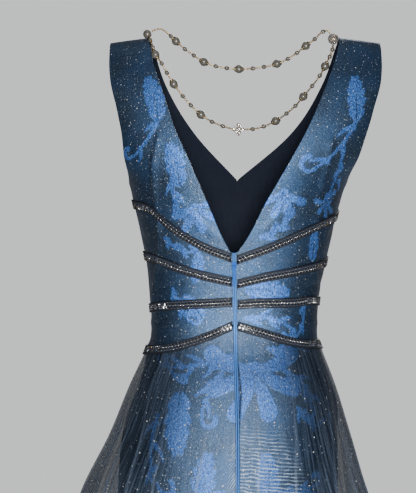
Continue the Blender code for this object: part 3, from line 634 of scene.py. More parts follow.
class Form:
    """A surface of the gown: a point at any angle and drop, straight out of it, and measured along the cloth."""

    def __init__(self, rings, folds):
        places = np.sqrt([ring.drop for ring in rings])
        columns = [smooth_line(places, column) for column in list(zip(*rings))[1:]]
        self.half_width, self.centre, self.back, self.front = columns
        self.folds = folds
        self.drops = np.linspace(rings[0].drop, OVERLAY_HEM_DROP, 260)
        self.angles = np.arange(-180.0, 271.0, 1.0)
        points = self.point(self.angles[None, :], self.drops[:, None])
        steps = np.linalg.norm(np.diff(points, axis=1), axis=2)
        self.arcs = np.concatenate([np.zeros((len(self.drops), 1)), np.cumsum(steps, axis=1)], axis=1)
        self.arcs -= self.arcs[:, 180:181]

    def point(self, angle, drop):
        place = np.sqrt(np.maximum(drop, 0.0))
        sine, cosine = np.sin(np.radians(angle)), np.cos(np.radians(angle))
        depth = np.where(cosine > 0, self.back(place), self.front(place))
        out = fold_height(self.folds, angle, drop)
        x = self.centre(place) + (self.half_width(place) + out) * sine
        y = -(depth + out) * cosine * (1 + BACK_ROUNDNESS * sine * sine)
        fall = SHOULDER_FALL * (sine * sine - 0.35) * np.maximum(1 - drop / 0.1, 0.0)
        return np.stack(np.broadcast_arrays(x, y, -drop - fall), axis=-1)

    def out(self, angle, drop):
        """The direction straight out of the cloth."""
        along = self.point(angle + 0.5, drop) - self.point(angle - 0.5, drop)
        down = self.point(angle, drop + 0.001) - self.point(angle, np.maximum(drop - 0.001, 0.0))
        out = np.cross(down, along)
        return out / np.linalg.norm(out, axis=-1, keepdims=True)

    def raised(self, angle, drop, lift):
        return self.point(angle, drop) + self.out(angle, drop) * np.asarray(lift)[..., None]

    def along(self, angle, drop):
        """The distance along the cloth from the centre back."""
        i = np.clip((drop - self.drops[0]) / (self.drops[1] - self.drops[0]), 0, len(self.drops) - 1.001)
        j = np.clip(angle - self.angles[0], 0, len(self.angles) - 1.001)
        i, j = np.broadcast_arrays(i, j)
        row, column = i.astype(int), j.astype(int)
        down, across = i - row, j - column
        upper = self.arcs[row, column] * (1 - across) + self.arcs[row, column + 1] * across
        lower = self.arcs[row + 1, column] * (1 - across) + self.arcs[row + 1, column + 1] * across
        return upper * (1 - down) + lower * down

    def angle_at(self, x, drop):
        """The angle at which the back passes a given X."""
        place = np.sqrt(drop)
        sine = (x - self.centre(place)) / self.half_width(place)
        return np.degrees(np.arcsin(np.clip(sine, -1.0, 1.0)))


gown_form = Form(GOWN_RINGS, OVERLAY_FOLDS)

NeckRow = namedtuple("NeckRow", "drop left right")
BACK_NECK = (
    NeckRow(0.000, -0.1315, 0.1320),
    NeckRow(0.033, -0.1283, 0.1235),
    NeckRow(0.087, -0.1115, 0.1030),
    NeckRow(0.137, -0.0950, 0.0803),
    NeckRow(0.170, -0.0801, 0.0625),
    NeckRow(0.235, -0.0518, 0.0248),
    NeckRow(0.283, -0.0302, -0.0006),
    NeckRow(0.301, -0.0206, -0.0128),
)
FRONT_NECK = (
    NeckRow(0.000, -0.1315, 0.1320),
    NeckRow(0.060, -0.1130, 0.1120),
    NeckRow(0.130, -0.0700, 0.0670),
    NeckRow(0.195, -0.0090, -0.0090),
)
neck_lines = {}
for place, table in (("back", BACK_NECK), ("front", FRONT_NECK)):
    for side in ("left", "right"):
        neck_lines[place, side] = smooth_line([row.drop for row in table], [getattr(row, side) for row in table])

# The trim bands' middles, which also shape the waist seam: from the zip to the side seams, and on to the front
BandRow = namedtuple(
    "BandRow", "left_0 left_20 left_40 left_60 left_90 right_0 right_20 right_40 right_60 right_90 front"
)
BANDS = (
    BandRow(0.310, 0.293, 0.268, 0.239, 0.232, 0.310, 0.2935, 0.275, 0.2595, 0.246, 0.288),
    BandRow(0.341, 0.332, 0.321, 0.3095, 0.304, 0.343, 0.333, 0.326, 0.3195, 0.311, 0.334),
    BandRow(0.367, 0.3695, 0.3715, 0.374, 0.378, 0.371, 0.3685, 0.3685, 0.366, 0.368, 0.374),
    BandRow(0.398, 0.4155, 0.428, 0.4335, 0.437, 0.399, 0.4105, 0.4215, 0.4265, 0.4285, 0.412),
)
BAND_ANGLES = (0, 20, 40, 60, 90)
band_lines = [(smooth_line(BAND_ANGLES, band[:5]), smooth_line(BAND_ANGLES, band[5:10])) for band in BANDS]


def band_drop(band, angle):
    signed = (np.asarray(angle, float) + 180) % 360 - 180
    away = np.abs(signed)
    left, right = band_lines[band]
    back = np.where(signed < 0, left(np.minimum(away, 90)), right(np.minimum(away, 90)))
    share = np.clip((away - 90) / 90, 0.0, 1.0)
    return back + (BANDS[band].front - back) * share * share * (3 - 2 * share)


def zip_angle(drop):
    share = np.clip((drop - 0.30) / (0.53 - 0.30), 0.0, 1.0)
    return gown_form.angle_at(-0.0167 + (-0.0125 + 0.0167) * share, drop)


def gap_angle(drop, gap=SEAM_GAP / 2):
    return np.degrees(gap / gown_form.half_width(np.sqrt(drop)))


def arm_angle(row, straight, shoulder):
    """The angle of an armhole's edge: straight down the strap, then round the curve to the side seam."""
    upper = shoulder + (straight - shoulder) * np.minimum(row / 0.120, 1.0)
    share = np.clip((row - 0.120) / (UNDERARM_DROP - 0.120), 0.0, 1.0)
    return np.where(row <= 0.120, upper, 90 + (straight - 90) * np.sqrt(1 - share * share))


def bodice_drop(row, angle):
    """Below the back opening the rows spread to meet the waist seam."""
    share = np.maximum((row - BACK_NECK_DROP) / (WAIST_DROP - BACK_NECK_DROP), 0.0)
    seam = band_drop(3, angle) - WAIST_GAP / 2
    return np.where(row <= BACK_NECK_DROP, row, BACK_NECK_DROP + share * (seam - BACK_NECK_DROP))


# The damask's woven figures: scrolling sprays, scalloped leaves and blossoms of a generic kind, all drawn by the rules
# below and set about where such figures lie on the cloth. Places are X and drop in millimetres on the back, a heading
# of 0 points right and 90 up, and a turn is the whole turn in degrees, positive to the left. The coil is above 1
# where the turn tightens towards the tip. One of the kind "cut" is a line of bare ground through the others.
Frond = namedtuple("Frond", "x drop heading length turn coil thick_start thick_end lobes kind half_width")
LEAF_LOBES = 5
PETAL_FAN = 38


def stroke(x, drop, heading, length, turn, coil, thick_start, thick_end, kind="line"):
    return Frond(x, drop, heading, length, turn, coil, thick_start, thick_end, 0, kind, 0)


def leaf(x, drop, heading, length, turn, half_width):
    return Frond(x, drop, heading, length, turn, 1.0, 4.5, 3.0, LEAF_LOBES, "line", half_width)


def place_on(frond, share):
    """The place and heading at a share of a frond's length."""
    steps = np.linspace(0, share, 24)
    heading = np.radians(frond.heading + frond.turn * steps**frond.coil)
    stride = frond.length * share / 23
    x = frond.x + float(np.sum(np.cos(heading[1:]) * stride))
    drop = frond.drop - float(np.sum(np.sin(heading[1:]) * stride))
    return x, drop, float(np.degrees(heading[-1]))


def spray(x, drop, heading, length, turn, leaves=4):
    """A curving stem with leaflets on both sides by turns, and a curled tip."""
    stem = stroke(x, drop, heading, length, turn, 1.1, 6.0, 4.0)
    rows = [stem]
    for k in range(leaves):
        side = 1 if k % 2 else -1
        foot_x, foot_drop, way = place_on(stem, 0.12 + 0.66 * k / max(leaves - 1, 1))
        rows.append(stroke(foot_x, foot_drop, way + side * 62, 0.30 * length, -side * 48, 1.0, 9.0, 2.5))
    tip_x, tip_drop, way = place_on(stem, 1.0)
    rows.append(stroke(tip_x, tip_drop, way, 0.48 * length, math.copysign(215, turn), 1.4, 4.0, 8.0))
    return rows


def scalloped_leaf(x, drop, heading, length, turn):
    """A broad leaf with scalloped sides and a bare vein down its middle."""
    vein = stroke(x, drop, heading, 0.62 * length, turn * 0.62, 1.0, 1.8, 1.0, "cut")
    return [leaf(x, drop, heading, length, turn, 0.26 * length), vein]


def blossom(x, drop, heading, size, petals=5):
    """An open blossom seen from the side: a fan of petals parted by bare lines, over a round foot."""
    rows = [stroke(x, drop, 0, 1, 0, 1.0, 0.42 * size, 0.42 * size)]
    for k in range(petals):
        fan = (k - (petals - 1) / 2) * PETAL_FAN
        rows.append(stroke(x, drop, heading + fan, size, 0.35 * fan, 1.0, 0.20 * size, 0.40 * size))
    for k in range(petals - 1):
        fan = (k - (petals - 2) / 2) * PETAL_FAN
        rows.append(stroke(x, drop, heading + fan, 0.7 * size, 0.35 * fan, 1.0, 1.4, 1.8, "cut"))
    return rows


BODICE_FRONDS = (
    *scalloped_leaf(-120, 120, 95, 60, 20),
    *spray(-120, 120, 250, 60, -30, 2),
    *scalloped_leaf(-90, 210, 105, 60, 10),
    *spray(-100, 200, 270, 60, 40, 4),
    *blossom(-70, 240, 290, 30),
    *spray(-110, 280, 310, 40, 40, 3),
    *scalloped_leaf(-70, 340, 80, 40, 10),
    *spray(-100, 350, 290, 50, 20, 4),
    *scalloped_leaf(-60, 390, 120, 40, 20),
    *scalloped_leaf(150, 120, 90, 60, 10),
    *spray(150, 120, 250, 90, -40, 3),
    *blossom(110, 230, 250, 20, 4),
    *spray(130, 180, 270, 50, -30, 3),
    *blossom(50, 220, 270, 30, 4),
    *spray(20, 280, 20, 50, 30, 4),
    *scalloped_leaf(90, 310, 80, 40, 10),
    *scalloped_leaf(0, 350, 0, 60, -10),
    *spray(0, 390, 10, 60, -40, 4),
    *spray(80, 370, 270, 40, -20, 2),
)


def mirrored(fronds):
    """The figures of a back panel turned over, for the front."""
    return tuple(frond._replace(x=-frond.x - 8, heading=180 - frond.heading, turn=-frond.turn) for frond in fronds)


FRONT_FRONDS = mirrored(BODICE_FRONDS)
FIGURE_REACH = 0.007


def frond_marks(frond):
    """Centres and radii along a frond and its lobes, in metres from its foot, across and down."""
    steps = np.linspace(0, 1, max(int(frond.length), 8))
    heading = np.radians(frond.heading + frond.turn * steps**frond.coil)
    stride = frond.length / (len(steps) - 1)
    across = np.concatenate([[0], np.cumsum(np.cos(heading[1:]) * stride)])
    up = np.concatenate([[0], np.cumsum(np.sin(heading[1:]) * stride)])
    radius = (frond.thick_start + (frond.thick_end - frond.thick_start) * steps) / 2
    marks = [np.stack([across, up, radius], axis=1)]
    for k in range(frond.lobes):
        share = (k + 0.45) / frond.lobes
        at = int(share * (len(steps) - 1))
        fat = 0.60 * frond.length / frond.lobes * (1.0 - 0.25 * share)
        reach = frond.half_width * (0.55 + 0.55 * math.sin(math.pi * min(share + 0.1, 1.0))) * 1.25 - fat * 0.55
        for sign in (1, -1):
            lobe = np.linspace(0, 1, max(int(reach), 5))
            lean = heading[at] + sign * math.radians(74 - 30 * share) - sign * math.radians(40) * lobe
            run = reach / (len(lobe) - 1)
            x = across[at] + np.concatenate([[0], np.cumsum(np.cos(lean[1:]) * run)])
            y = up[at] + np.concatenate([[0], np.cumsum(np.sin(lean[1:]) * run)])
            marks.append(np.stack([x, y, fat * (1.0 - 0.55 * lobe)], axis=1))
    return np.concatenate(marks) / 1000


def figure_distance(form, fronds, across, drop):
    """How far each point of the cloth is outside the woven figures, in millimetres; inside it is negative."""
    nearest = np.full(across.shape, FIGURE_REACH)
    for frond in sorted(fronds, key=lambda row: row.kind == "cut"):
        foot_drop = frond.drop / 1000
        foot = form.along(form.angle_at(frond.x / 1000, foot_drop), foot_drop)
        marks = frond_marks(frond)
        x, y, radius = foot + marks[:, 0], foot_drop - marks[:, 1], marks[:, 2]
        pad = FIGURE_REACH + radius.max()
        near = (across > x.min() - pad) & (across < x.max() + pad) & (drop > y.min() - pad) & (drop < y.max() + pad)
        if not near.any():
            continue
        away = (np.hypot(across[near][:, None] - x, drop[near][:, None] - y) - radius).min(axis=1)
        if frond.kind == "cut":
            nearest[near] = np.maximum(nearest[near], -away)
        else:
            nearest[near] = np.minimum(nearest[near], away)
    return nearest * 1000


def grid_mesh(name, grids):
    """One cloth mesh through one or more grids of points, cloth places and other values, sewn where they meet."""
    points, places, faces = [], [], []
    values = {key: [] for key in grids[0] if key not in ("points", "places")}
    start = 0
    for grid in grids:
        rows, columns = grid["points"].shape[:2]
        index = np.arange(rows * columns).reshape(rows, columns) + start
        start += rows * columns
        points.append(grid["points"].reshape(-1, 3))
        places.append(grid["places"].reshape(-1, 2))
        for key, rows_of_values in values.items():
            rows_of_values.append(grid[key].reshape(-1))
        quads = (index[:-1, :-1], index[1:, :-1], index[1:, 1:], index[:-1, 1:])
        faces.append(np.stack(quads, axis=-1).reshape(-1, 4))
    points, places = np.concatenate(points), np.concatenate(places)
    faces = np.concatenate(faces)
    rounded = np.round(points * 2e5).astype(np.int64)
    _, first, shared = np.unique(rounded, axis=0, return_index=True, return_inverse=True)
    faces = shared.reshape(-1)[faces]
    mesh = bpy.data.meshes.new(name)
    mesh.from_pydata(points[first].tolist(), [], faces.tolist())
    for key, rows_of_values in values.items():
        mesh.attributes.new(key, "FLOAT", "POINT").data.foreach_set("value", np.concatenate(rows_of_values)[first])
    corners = np.zeros(len(mesh.loops), int)
    mesh.loops.foreach_get("vertex_index", corners)
    mesh.uv_layers.new(name="cloth").data.foreach_set("uv", places[first][corners].ravel())
    mesh.shade_smooth()
    return mesh


def cloth_piece(name, grids, wall, outside, inside):
    """A cloth piece: its outer face, given a thin wall inwards with a finish of its own inside."""
    made = add(name, grid_mesh(name, grids), outside, inside)
    thick = made.modifiers.new("wall", "SOLIDIFY")
    thick.thickness = wall
    thick.offset = -1
    thick.material_offset = 1
    return made


def specks(finish, cell, dot, share, colour_seed=0.0):
    """Round flecks scattered over the cloth, each of its own brightness. Sizes are in metres."""
    place = put(finish, "ShaderNodeUVMap", uv_map="cloth").outputs["UV"]
    shift = (colour_seed, colour_seed * 0.7, 0.0)
    place = put(finish, "ShaderNodeMapping", {"Vector": place, "Location": shift}).outputs[0]
    cells = put(finish, "ShaderNodeTexVoronoi", {"Vector": place, "Scale": 1 / cell}, voronoi_dimensions="2D")
    inside = spread(finish, cells.outputs["Distance"], dot / cell * 1.25, dot / cell * 0.75)
    parts = put(finish, "ShaderNodeSeparateColor", {"Color": cells.outputs["Color"]})
    chosen = math_node(finish, "LESS_THAN", parts.outputs[0], share)
    lively = spread(finish, parts.outputs[1], 0.0, 1.0, 0.25, 1.0)
    return math_node(finish, "MULTIPLY", math_node(finish, "MULTIPLY", inside, chosen, clamp=True), lively)


damask_finish, damask_shader = new_finish("damask", (0.06, 0.12, 0.22), 0.48, 0.90)
figure = put(damask_finish, "ShaderNodeAttribute", attribute_name="figure").outputs["Fac"]
ragged_inputs = {0: noise(damask_finish, 420.0, 4.0), 1: 6.4, 2: -3.2}
ragged = put(damask_finish, "ShaderNodeMath", ragged_inputs, operation="MULTIPLY_ADD").outputs[0]
woven = spread(damask_finish, math_node(damask_finish, "ADD", figure, ragged), 0.75, -0.75)
grain = spread(damask_finish, noise(damask_finish, 780.0, 3.0), 0.32, 0.68)
threads = spread(damask_finish, noise(damask_finish, 800.0, 3.0, (1.0, 1.0, 0.55)), 0.36, 0.64)
cloudy = noise(damask_finish, 26.0, 3.0)
ground = blend(damask_finish, grain, (0.020, 0.036, 0.066), (0.115, 0.180, 0.285))
ground = blend(damask_finish, spread(damask_finish, cloudy, 0.35, 0.7, 0.0, 0.30), ground, (0.04, 0.15, 0.40))
frond_blue = blend(damask_finish, threads, (0.016, 0.065, 0.27), (0.140, 0.360, 0.92))
colour = blend(damask_finish, woven, ground, frond_blue)
# Glitter: real flecks, coloured white and made less metallic so that each shows as a painted glint under any light
fine = specks(damask_finish, 0.0050, 0.00036, 0.38)
bright = specks(damask_finish, 0.0120, 0.00062, 0.60, 0.37)
glitter_and_painted_glints = math_node(damask_finish, "MAXIMUM", fine, bright, clamp=True)
colour = blend(damask_finish, glitter_and_painted_glints, colour, (0.92, 0.95, 1.0))
join_to(damask_finish, colour, damask_shader, "Base Color")
join_to(damask_finish, spread(damask_finish, woven, 0.0, 1.0, 0.46, 0.50), damask_shader, "Roughness")
shine = spread(damask_finish, woven, 0.0, 1.0, 0.96, 0.80)
shine = math_node(damask_finish, "MULTIPLY", shine, spread(damask_finish, glitter_and_painted_glints, 0.0, 1.0, 1.0, 0.3))
join_to(damask_finish, shine, damask_shader, "Metallic")
damask_shader.inputs["Sheen Weight"].default_value = 0.05
damask_shader.inputs["Sheen Roughness"].default_value = 0.4
relief = math_node(damask_finish, "ADD", grain, math_node(damask_finish, "MULTIPLY", woven, 0.8))
bump(damask_finish, damask_shader, math_node(damask_finish, "ADD", relief, glitter_and_painted_glints), 0.35, 0.0006)

# The lining's near-black colour is painted shade: the inside of the gown is coloured as dark as its shadowed interior
lining_and_painted_shade_finish, lining_and_painted_shade_shader = new_finish("lining", (0.010, 0.014, 0.028), 0.75)
lining_and_painted_shade_shader.inputs["Specular IOR Level"].default_value = 0.15
satin = noise(lining_and_painted_shade_finish, 300.0, 2.0, (1.0, 1.0, 0.2))
lining_and_painted_shade_colour = blend(lining_and_painted_shade_finish, satin, (0.005, 0.007, 0.015), (0.012, 0.017, 0.032))
join_to(lining_and_painted_shade_finish, lining_and_painted_shade_colour, lining_and_painted_shade_shader, "Base Color")
bump(lining_and_painted_shade_finish, lining_and_painted_shade_shader, satin, 0.2, 0.0004)

# Soft creases of the bodice: a trough or ridge that runs between two places and fades at its ends
Crease = namedtuple("Crease", "angle_start drop_start angle_end drop_end left_width right_width height")
BODICE_CREASES = (
    Crease(-38, 0.148, -45, 0.180, 0.0022, 0.0080, 0.0007),
    Crease(-45, 0.180, -51, 0.208, 0.0022, 0.0080, 0.0011),
    Crease(-51, 0.208, -53, 0.263, 0.0022, 0.0080, 0.0014),
    Crease(-53, 0.263, -60, 0.312, 0.0022, 0.0080, 0.0014),
    Crease(-60, 0.312, -74, 0.356, 0.0022, 0.0080, 0.0012),
    Crease(40, 0.156, 50, 0.204, 0.0080, 0.0030, 0.0007),
    Crease(50, 0.204, 54, 0.262, 0.0080, 0.0030, 0.0010),
    Crease(54, 0.262, 61, 0.314, 0.0080, 0.0030, 0.0009),
    Crease(61, 0.314, 73, 0.352, 0.0080, 0.0030, 0.0007),
    Crease(-84, 0.352, -40, 0.345, 0.0050, 0.0050, -0.0008),
    Crease(-88, 0.398, -52, 0.404, 0.0060, 0.0060, 0.0010),
    Crease(30, 0.392, 82, 0.398, 0.0060, 0.0060, 0.0010),
    Crease(44, 0.350, 86, 0.342, 0.0050, 0.0050, -0.0009),
    Crease(-34, 0.232, -14, 0.276, 0.0070, 0.0070, 0.0008),
    Crease(34, 0.226, 16, 0.268, 0.0070, 0.0070, 0.0008),
    Crease(-88, 0.262, -70, 0.286, 0.0050, 0.0050, -0.0008),
    Crease(74, 0.276, 88, 0.262, 0.0050, 0.0050, -0.0008),
    Crease(112, 0.230, 128, 0.300, 0.0050, 0.0050, -0.0014),
    Crease(128, 0.300, 126, 0.420, 0.0048, 0.0048, -0.0013),
    Crease(248, 0.230, 232, 0.300, 0.0050, 0.0050, -0.0014),
    Crease(232, 0.300, 234, 0.420, 0.0048, 0.0048, -0.0013),
    Crease(150, 0.395, 205, 0.399, 0.0070, 0.0070, -0.0009),
    Crease(160, 0.350, 192, 0.356, 0.0070, 0.0070, 0.0008),
)
CREASE_FADE = 0.009


def crease_height(form, creases, angle, drop):
    """How far the creases lift or sink the cloth. A crease is wider on one side where the cloth is tucked under."""
    across = form.along(angle, drop)
    total = np.zeros(across.shape)
    for crease in creases:
        x0 = form.along(crease.angle_start, crease.drop_start)
        x1 = form.along(crease.angle_end, crease.drop_end)
        run = np.array([x1 - x0, crease.drop_end - crease.drop_start])
        length = np.linalg.norm(run)
        run /= length
        along = (across - x0) * run[0] + (drop - crease.drop_start) * run[1]
        away = (across - x0) * -run[1] + (drop - crease.drop_start) * run[0]
        beyond = np.maximum(np.maximum(-along, along - length), 0.0)
        width = np.where(away > 0, crease.left_width, crease.right_width)
        total += crease.height * np.exp(-((away / width) ** 2) - (beyond / CREASE_FADE) ** 2)
    return total


def panel_grid(form, fronds, creases, angle, drop, middle=0.0):
    """The points, cloth places and woven figure of a panel, at a grid of angles and drops."""
    angle, drop = np.broadcast_arrays(angle, drop)
    across = form.along(angle, drop)
    lift = crease_height(form, creases, angle, drop)
    figure = figure_distance(form, fronds, across - middle, drop)
    return {
        "points": form.raised(angle, drop, lift),
        "places": np.stack([across, -drop], axis=-1),
        "figure": figure,
    }


BODICE_WALL = 0.0014
shoulder_rows = 0.036 * np.linspace(0, 1, 15) ** 2
BACK_ROWS = np.concatenate([shoulder_rows, np.linspace(0.038, 0.2995, 118)])
WAIST_ROWS = np.linspace(BACK_NECK_DROP, WAIST_DROP, 60)
BACK_STEPS = np.linspace(0, 1, 105)
for side, sign in (("left", -1), ("right", 1)):
    neck = gown_form.angle_at(neck_lines["back", side](BACK_ROWS), BACK_ROWS)
    arm = sign * (arm_angle(BACK_ROWS, 58.0, 58.0) - gap_angle(BACK_ROWS))
    low_neck = zip_angle(WAIST_ROWS) + sign * gap_angle(WAIST_ROWS)
    low_arm = sign * (90 - gap_angle(WAIST_ROWS))
    rows = np.concatenate([BACK_ROWS, WAIST_ROWS])[:, None]
    inner = np.concatenate([neck, low_neck])[:, None]
    outer = np.concatenate([arm, low_arm])[:, None]
    first, last = (outer, inner) if side == "left" else (inner, outer)
    angle = first + (last - first) * BACK_STEPS
    grid = panel_grid(gown_form, BODICE_FRONDS, BODICE_CREASES, angle, bodice_drop(rows, angle))
    piece = cloth_piece(f"back_bodice_{side}", [grid], BODICE_WALL, damask_finish, lining_and_painted_shade_finish)
    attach(piece, "gown")
    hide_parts(f"bodice_back_{side}")

FRONT_ROWS = np.concatenate([shoulder_rows, np.linspace(0.038, WAIST_DROP, 150)])
FRONT_STEPS = np.linspace(0, 1, 73)
front_middle = float(gown_form.along(180.0, 0.30))
grids = []
for side, sign in (("right", 1), ("left", -1)):
    rows = FRONT_ROWS[:, None]
    arm = 180 - sign * (180 - arm_angle(FRONT_ROWS, 126.0, 122.0) - gap_angle(FRONT_ROWS))
    neck = 180 - gown_form.angle_at(neck_lines["front", side](FRONT_ROWS), FRONT_ROWS)
    neck = np.where(FRONT_ROWS < FRONT_NECK_DROP, neck, 180.0)
    first, last = (arm, neck) if side == "right" else (neck, arm)
    angle = first[:, None] + (last - first)[:, None] * FRONT_STEPS
    grids.append(panel_grid(gown_form, FRONT_FRONDS, BODICE_CREASES, angle, bodice_drop(rows, angle), front_middle))
piece = cloth_piece("front_bodice", grids, BODICE_WALL, damask_finish, lining_and_painted_shade_finish)
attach(piece, "gown")
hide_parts("bodice_front")

# The trim bands: strips of the dress's dark blue cloth with a fine cord along both edges, sewn over the bodice and
# the waist seam. Each carries two staggered rows of square black stones with silver beads between them, which give
# way to small clear, gold and black stones towards the side seams. A band ends at either side of the zip.
BAND_WIDTH = 0.0120
BAND_LIFT = 0.0008
BAND_CLEAR_OF_ZIP = 0.0036
STONE_STEP = 0.0049
STONE_LIFT = 0.0012
STONE_ROWS_APART = 0.0039
BLACK_STONE = 0.00172
SILVER_BAR = (0.00048, 0.00048, 0.00150)
EDGE_BEAD = (0.00042, 0.00042, 0.00110)
STONES_OFF_MIDDLE = (0.0012, 0.0012, 0.0002, -0.0008)

strip_finish, strip_shader = new_finish("trim_strip", (0.05, 0.07, 0.12), 0.5)
across = put(strip_finish, "ShaderNodeUVMap", uv_map="cloth").outputs["UV"]
across = put(strip_finish, "ShaderNodeSeparateXYZ", {"Vector": across}).outputs["Y"]
# Painted shade: the strip's outer edges, over the raised cord, are darkened to near black
band_edge_painted_shade = spread(strip_finish, math_node(strip_finish, "ABSOLUTE", across), 0.0046, 0.0052)
ribbed = noise(strip_finish, 700.0, 2.0)
strip_colour = blend(strip_finish, ribbed, (0.010, 0.016, 0.032), (0.032, 0.046, 0.080))
join_to(strip_finish, blend(strip_finish, band_edge_painted_shade, strip_colour, (0.008, 0.009, 0.013)), strip_shader, "Base Color")
bump(strip_finish, strip_shader, ribbed, 0.4, 0.0005)

black_finish, black_shader = new_finish("black_stone", (0.006, 0.006, 0.008), 0.10)
black_shader.inputs["Coat Weight"].default_value = 0.6
cut = noise(black_finish, 900.0, 0.0)
black_colour = blend(black_finish, cut, (0.003, 0.003, 0.004), (0.020, 0.020, 0.026))
join_to(black_finish, black_colour, black_shader, "Base Color")
bump(black_finish, black_shader, cut, 0.2, 0.0004)

silver_finish, silver_shader = new_finish("silver_bead", (0.72, 0.72, 0.70), 0.22, 0.9)
tarnish = noise(silver_finish, 420.0)
silver_colour = blend(silver_finish, tarnish, (0.46, 0.45, 0.42), (1.0, 0.99, 0.96))
join_to(silver_finish, silver_colour, silver_shader, "Base Color")
bump(silver_finish, silver_shader, tarnish, 0.3, 0.0003)

square_profile = [(0.0, -0.3), (1.41, -0.3), (1.41, 0.15), (0.78, 0.62), (0.0, 0.62)]
bead_profile = [(0.0, -1.0), (0.72, -0.7), (1.0, 0.0), (0.72, 0.7), (0.0, 1.0)]
small_profile = [(0.0, -0.4), (1.0, -0.2), (0.95, 0.15), (0.55, 0.55), (0.0, 0.55)]
square_shape = lathe("square_stone", square_profile, 4, smooth=False)
bead_shape = lathe("bead", bead_profile, 7)
small_stone_shape = lathe("small_stone", small_profile, 6, smooth=False)
PIPED_EDGE = ((-0.5, 0.0002), (-0.47, 0.0012), (-0.42, 0.0013), (-0.38, 0.0007), (0.0, 0.0009),
              (0.38, 0.0007), (0.42, 0.0013), (0.47, 0.0012), (0.5, 0.0002))
chance = np.random.default_rng(7)
for band in range(4):
    middle = float(band_drop(band, 0))
    clear = gap_angle(middle, BAND_CLEAR_OF_ZIP)
    gap = gap_angle(middle)
    zip_place = float(zip_angle(middle))
    ends = (
        ("back_left", zip_place - clear, -90 + gap),
        ("back_right", zip_place + clear, 90 - gap),
        ("front", 90 + gap, 270 - gap),
    )
    for place, start, end in ends:
        angles = np.linspace(start, end, 400)
        line = gown_form.raised(angles, band_drop(band, angles), np.full(400, BAND_LIFT))
        runs = np.concatenate([[0], np.cumsum(np.linalg.norm(np.diff(line, axis=0), axis=1))])
        length = float(runs[-1])
        count = int(length / 0.003)
        along = np.interp(np.linspace(0, length, count), runs, angles)
        shares = np.array([share for share, lift in PIPED_EDGE])
        lifts = np.array([lift for share, lift in PIPED_EDGE]) + BAND_LIFT
        drops = band_drop(band, along)[None, :] + shares[:, None] * BAND_WIDTH
        points = gown_form.raised(np.broadcast_to(along, drops.shape), drops, lifts[:, None] + 0 * drops)
        if start < end:
            points, drops, along_run = points[::-1], drops[::-1], np.linspace(0, length, count)
            shares = shares[::-1]
        else:
            along_run = -np.linspace(0, length, count)
        grid = {
            "points": points,
            "places": np.stack(np.broadcast_arrays(along_run, shares[:, None] * BAND_WIDTH), axis=-1),
        }
        strip = cloth_piece(f"strip_{band + 1}_{place}", [grid], 0.0006, strip_finish, strip_finish)
        step = strip.modifiers["wall"]
        with bpy.context.temp_override(object=strip, active_object=strip):
            bpy.ops.object.modifier_apply(modifier=step.name)

        def on_band(run, off, lift):
            angle = np.interp(run, runs, angles)
            drop = band_drop(band, angle) + off
            here = gown_form.raised(angle, drop, lift)
            ahead = gown_form.raised(angle + 0.3, band_drop(band, angle + 0.3) + off, lift)
            return here, gown_form.out(angle, drop), ahead - here

        blacks, beads, clears, golds = [], [], [], []
        steps = int(length / (STONE_STEP / 2))
        for k in range(1, steps):
            run = k * STONE_STEP / 2
            side = 1 if k % 2 else -1
            share = run / length if place != "front" else 1 - abs(run / length - 0.5) * 2
            off = STONES_OFF_MIDDLE[band]
            sparkly = share > 0.62 + 0.12 * chance.random() if place != "front" else share < 0.3
            if sparkly:
                for row in (-1, 0, 1):
                    nearby = run + chance.uniform(-0.0004, 0.0004)
                    spot, out, ahead = on_band(nearby, off + row * 0.0026, BAND_LIFT + 0.0010)
                    lean = out + np.array([chance.uniform(-0.45, 0.45) for _ in range(3)])
                    kind = (clears, golds, blacks)[chance.choice(3, p=(0.40, 0.25, 0.35))]
                    kind.append((spot, turned(lean, ahead), 0.00095 + 0.0004 * chance.random()))
            else:
                spot, out, ahead = on_band(run, off + side * STONE_ROWS_APART / 2, BAND_LIFT + STONE_LIFT)
                blacks.append((spot, turned(out, ahead), BLACK_STONE))
                spot, out, ahead = on_band(run + STONE_STEP / 4, off, BAND_LIFT + 0.0015)
                across_way = np.cross(out, ahead / np.linalg.norm(ahead))
                diagonal = ahead / np.linalg.norm(ahead) - side * across_way
                beads.append((spot, turned(diagonal, out), SILVER_BAR))
                spot, out, ahead = on_band(run, off + side * 0.0040, BAND_LIFT + STONE_LIFT)
                beads.append((spot, turned(ahead, out), EDGE_BEAD))
        parts = [strip]
        name = f"stones_{band + 1}_{place}"
        for kind, shape_mesh, stones, finish in (
            ("black", square_shape, blacks, black_finish),
            ("silver", bead_shape, beads, silver_finish),
            ("gold", small_stone_shape, golds, gold_finish),
            ("clear", small_stone_shape, clears, crystal_finish),
        ):
            if stones:
                parts.append(set_on_points(f"{name}_{kind}", shape_mesh, *zip(*stones), finish))
        trim = joined(f"trim_{band + 1}_{place}", parts)
        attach(trim, "gown")
        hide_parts(f"band_{band + 1}_{place}")

# The zip: a woven tape with two soft lips over the centre-back seam, closed from top to foot. Its slider and pull
# tab are blue enamelled metal.
ZIP_HALF_WIDTH = 0.0025
ZIP_FOOT_DROP = 0.62
ZIP_LIPS = ((-1.0, 0.0006), (-0.9, 0.0015), (-0.55, 0.0018), (-0.18, 0.0017), (0.0, 0.0009),
            (0.18, 0.0017), (0.55, 0.0018), (0.9, 0.0015), (1.0, 0.0006))
zip_finish, zip_shader = new_finish("zip_tape", (0.12, 0.27, 0.58), 0.50, 0.70)
weave = noise(zip_finish, 900.0, 2.0, (1.0, 1.0, 0.35))
tape_colour = blend(zip_finish, weave, (0.040, 0.150, 0.480), (0.120, 0.340, 0.800))
across = put(zip_finish, "ShaderNodeUVMap", uv_map="cloth").outputs["UV"]
across = put(zip_finish, "ShaderNodeSeparateXYZ", {"Vector": across})
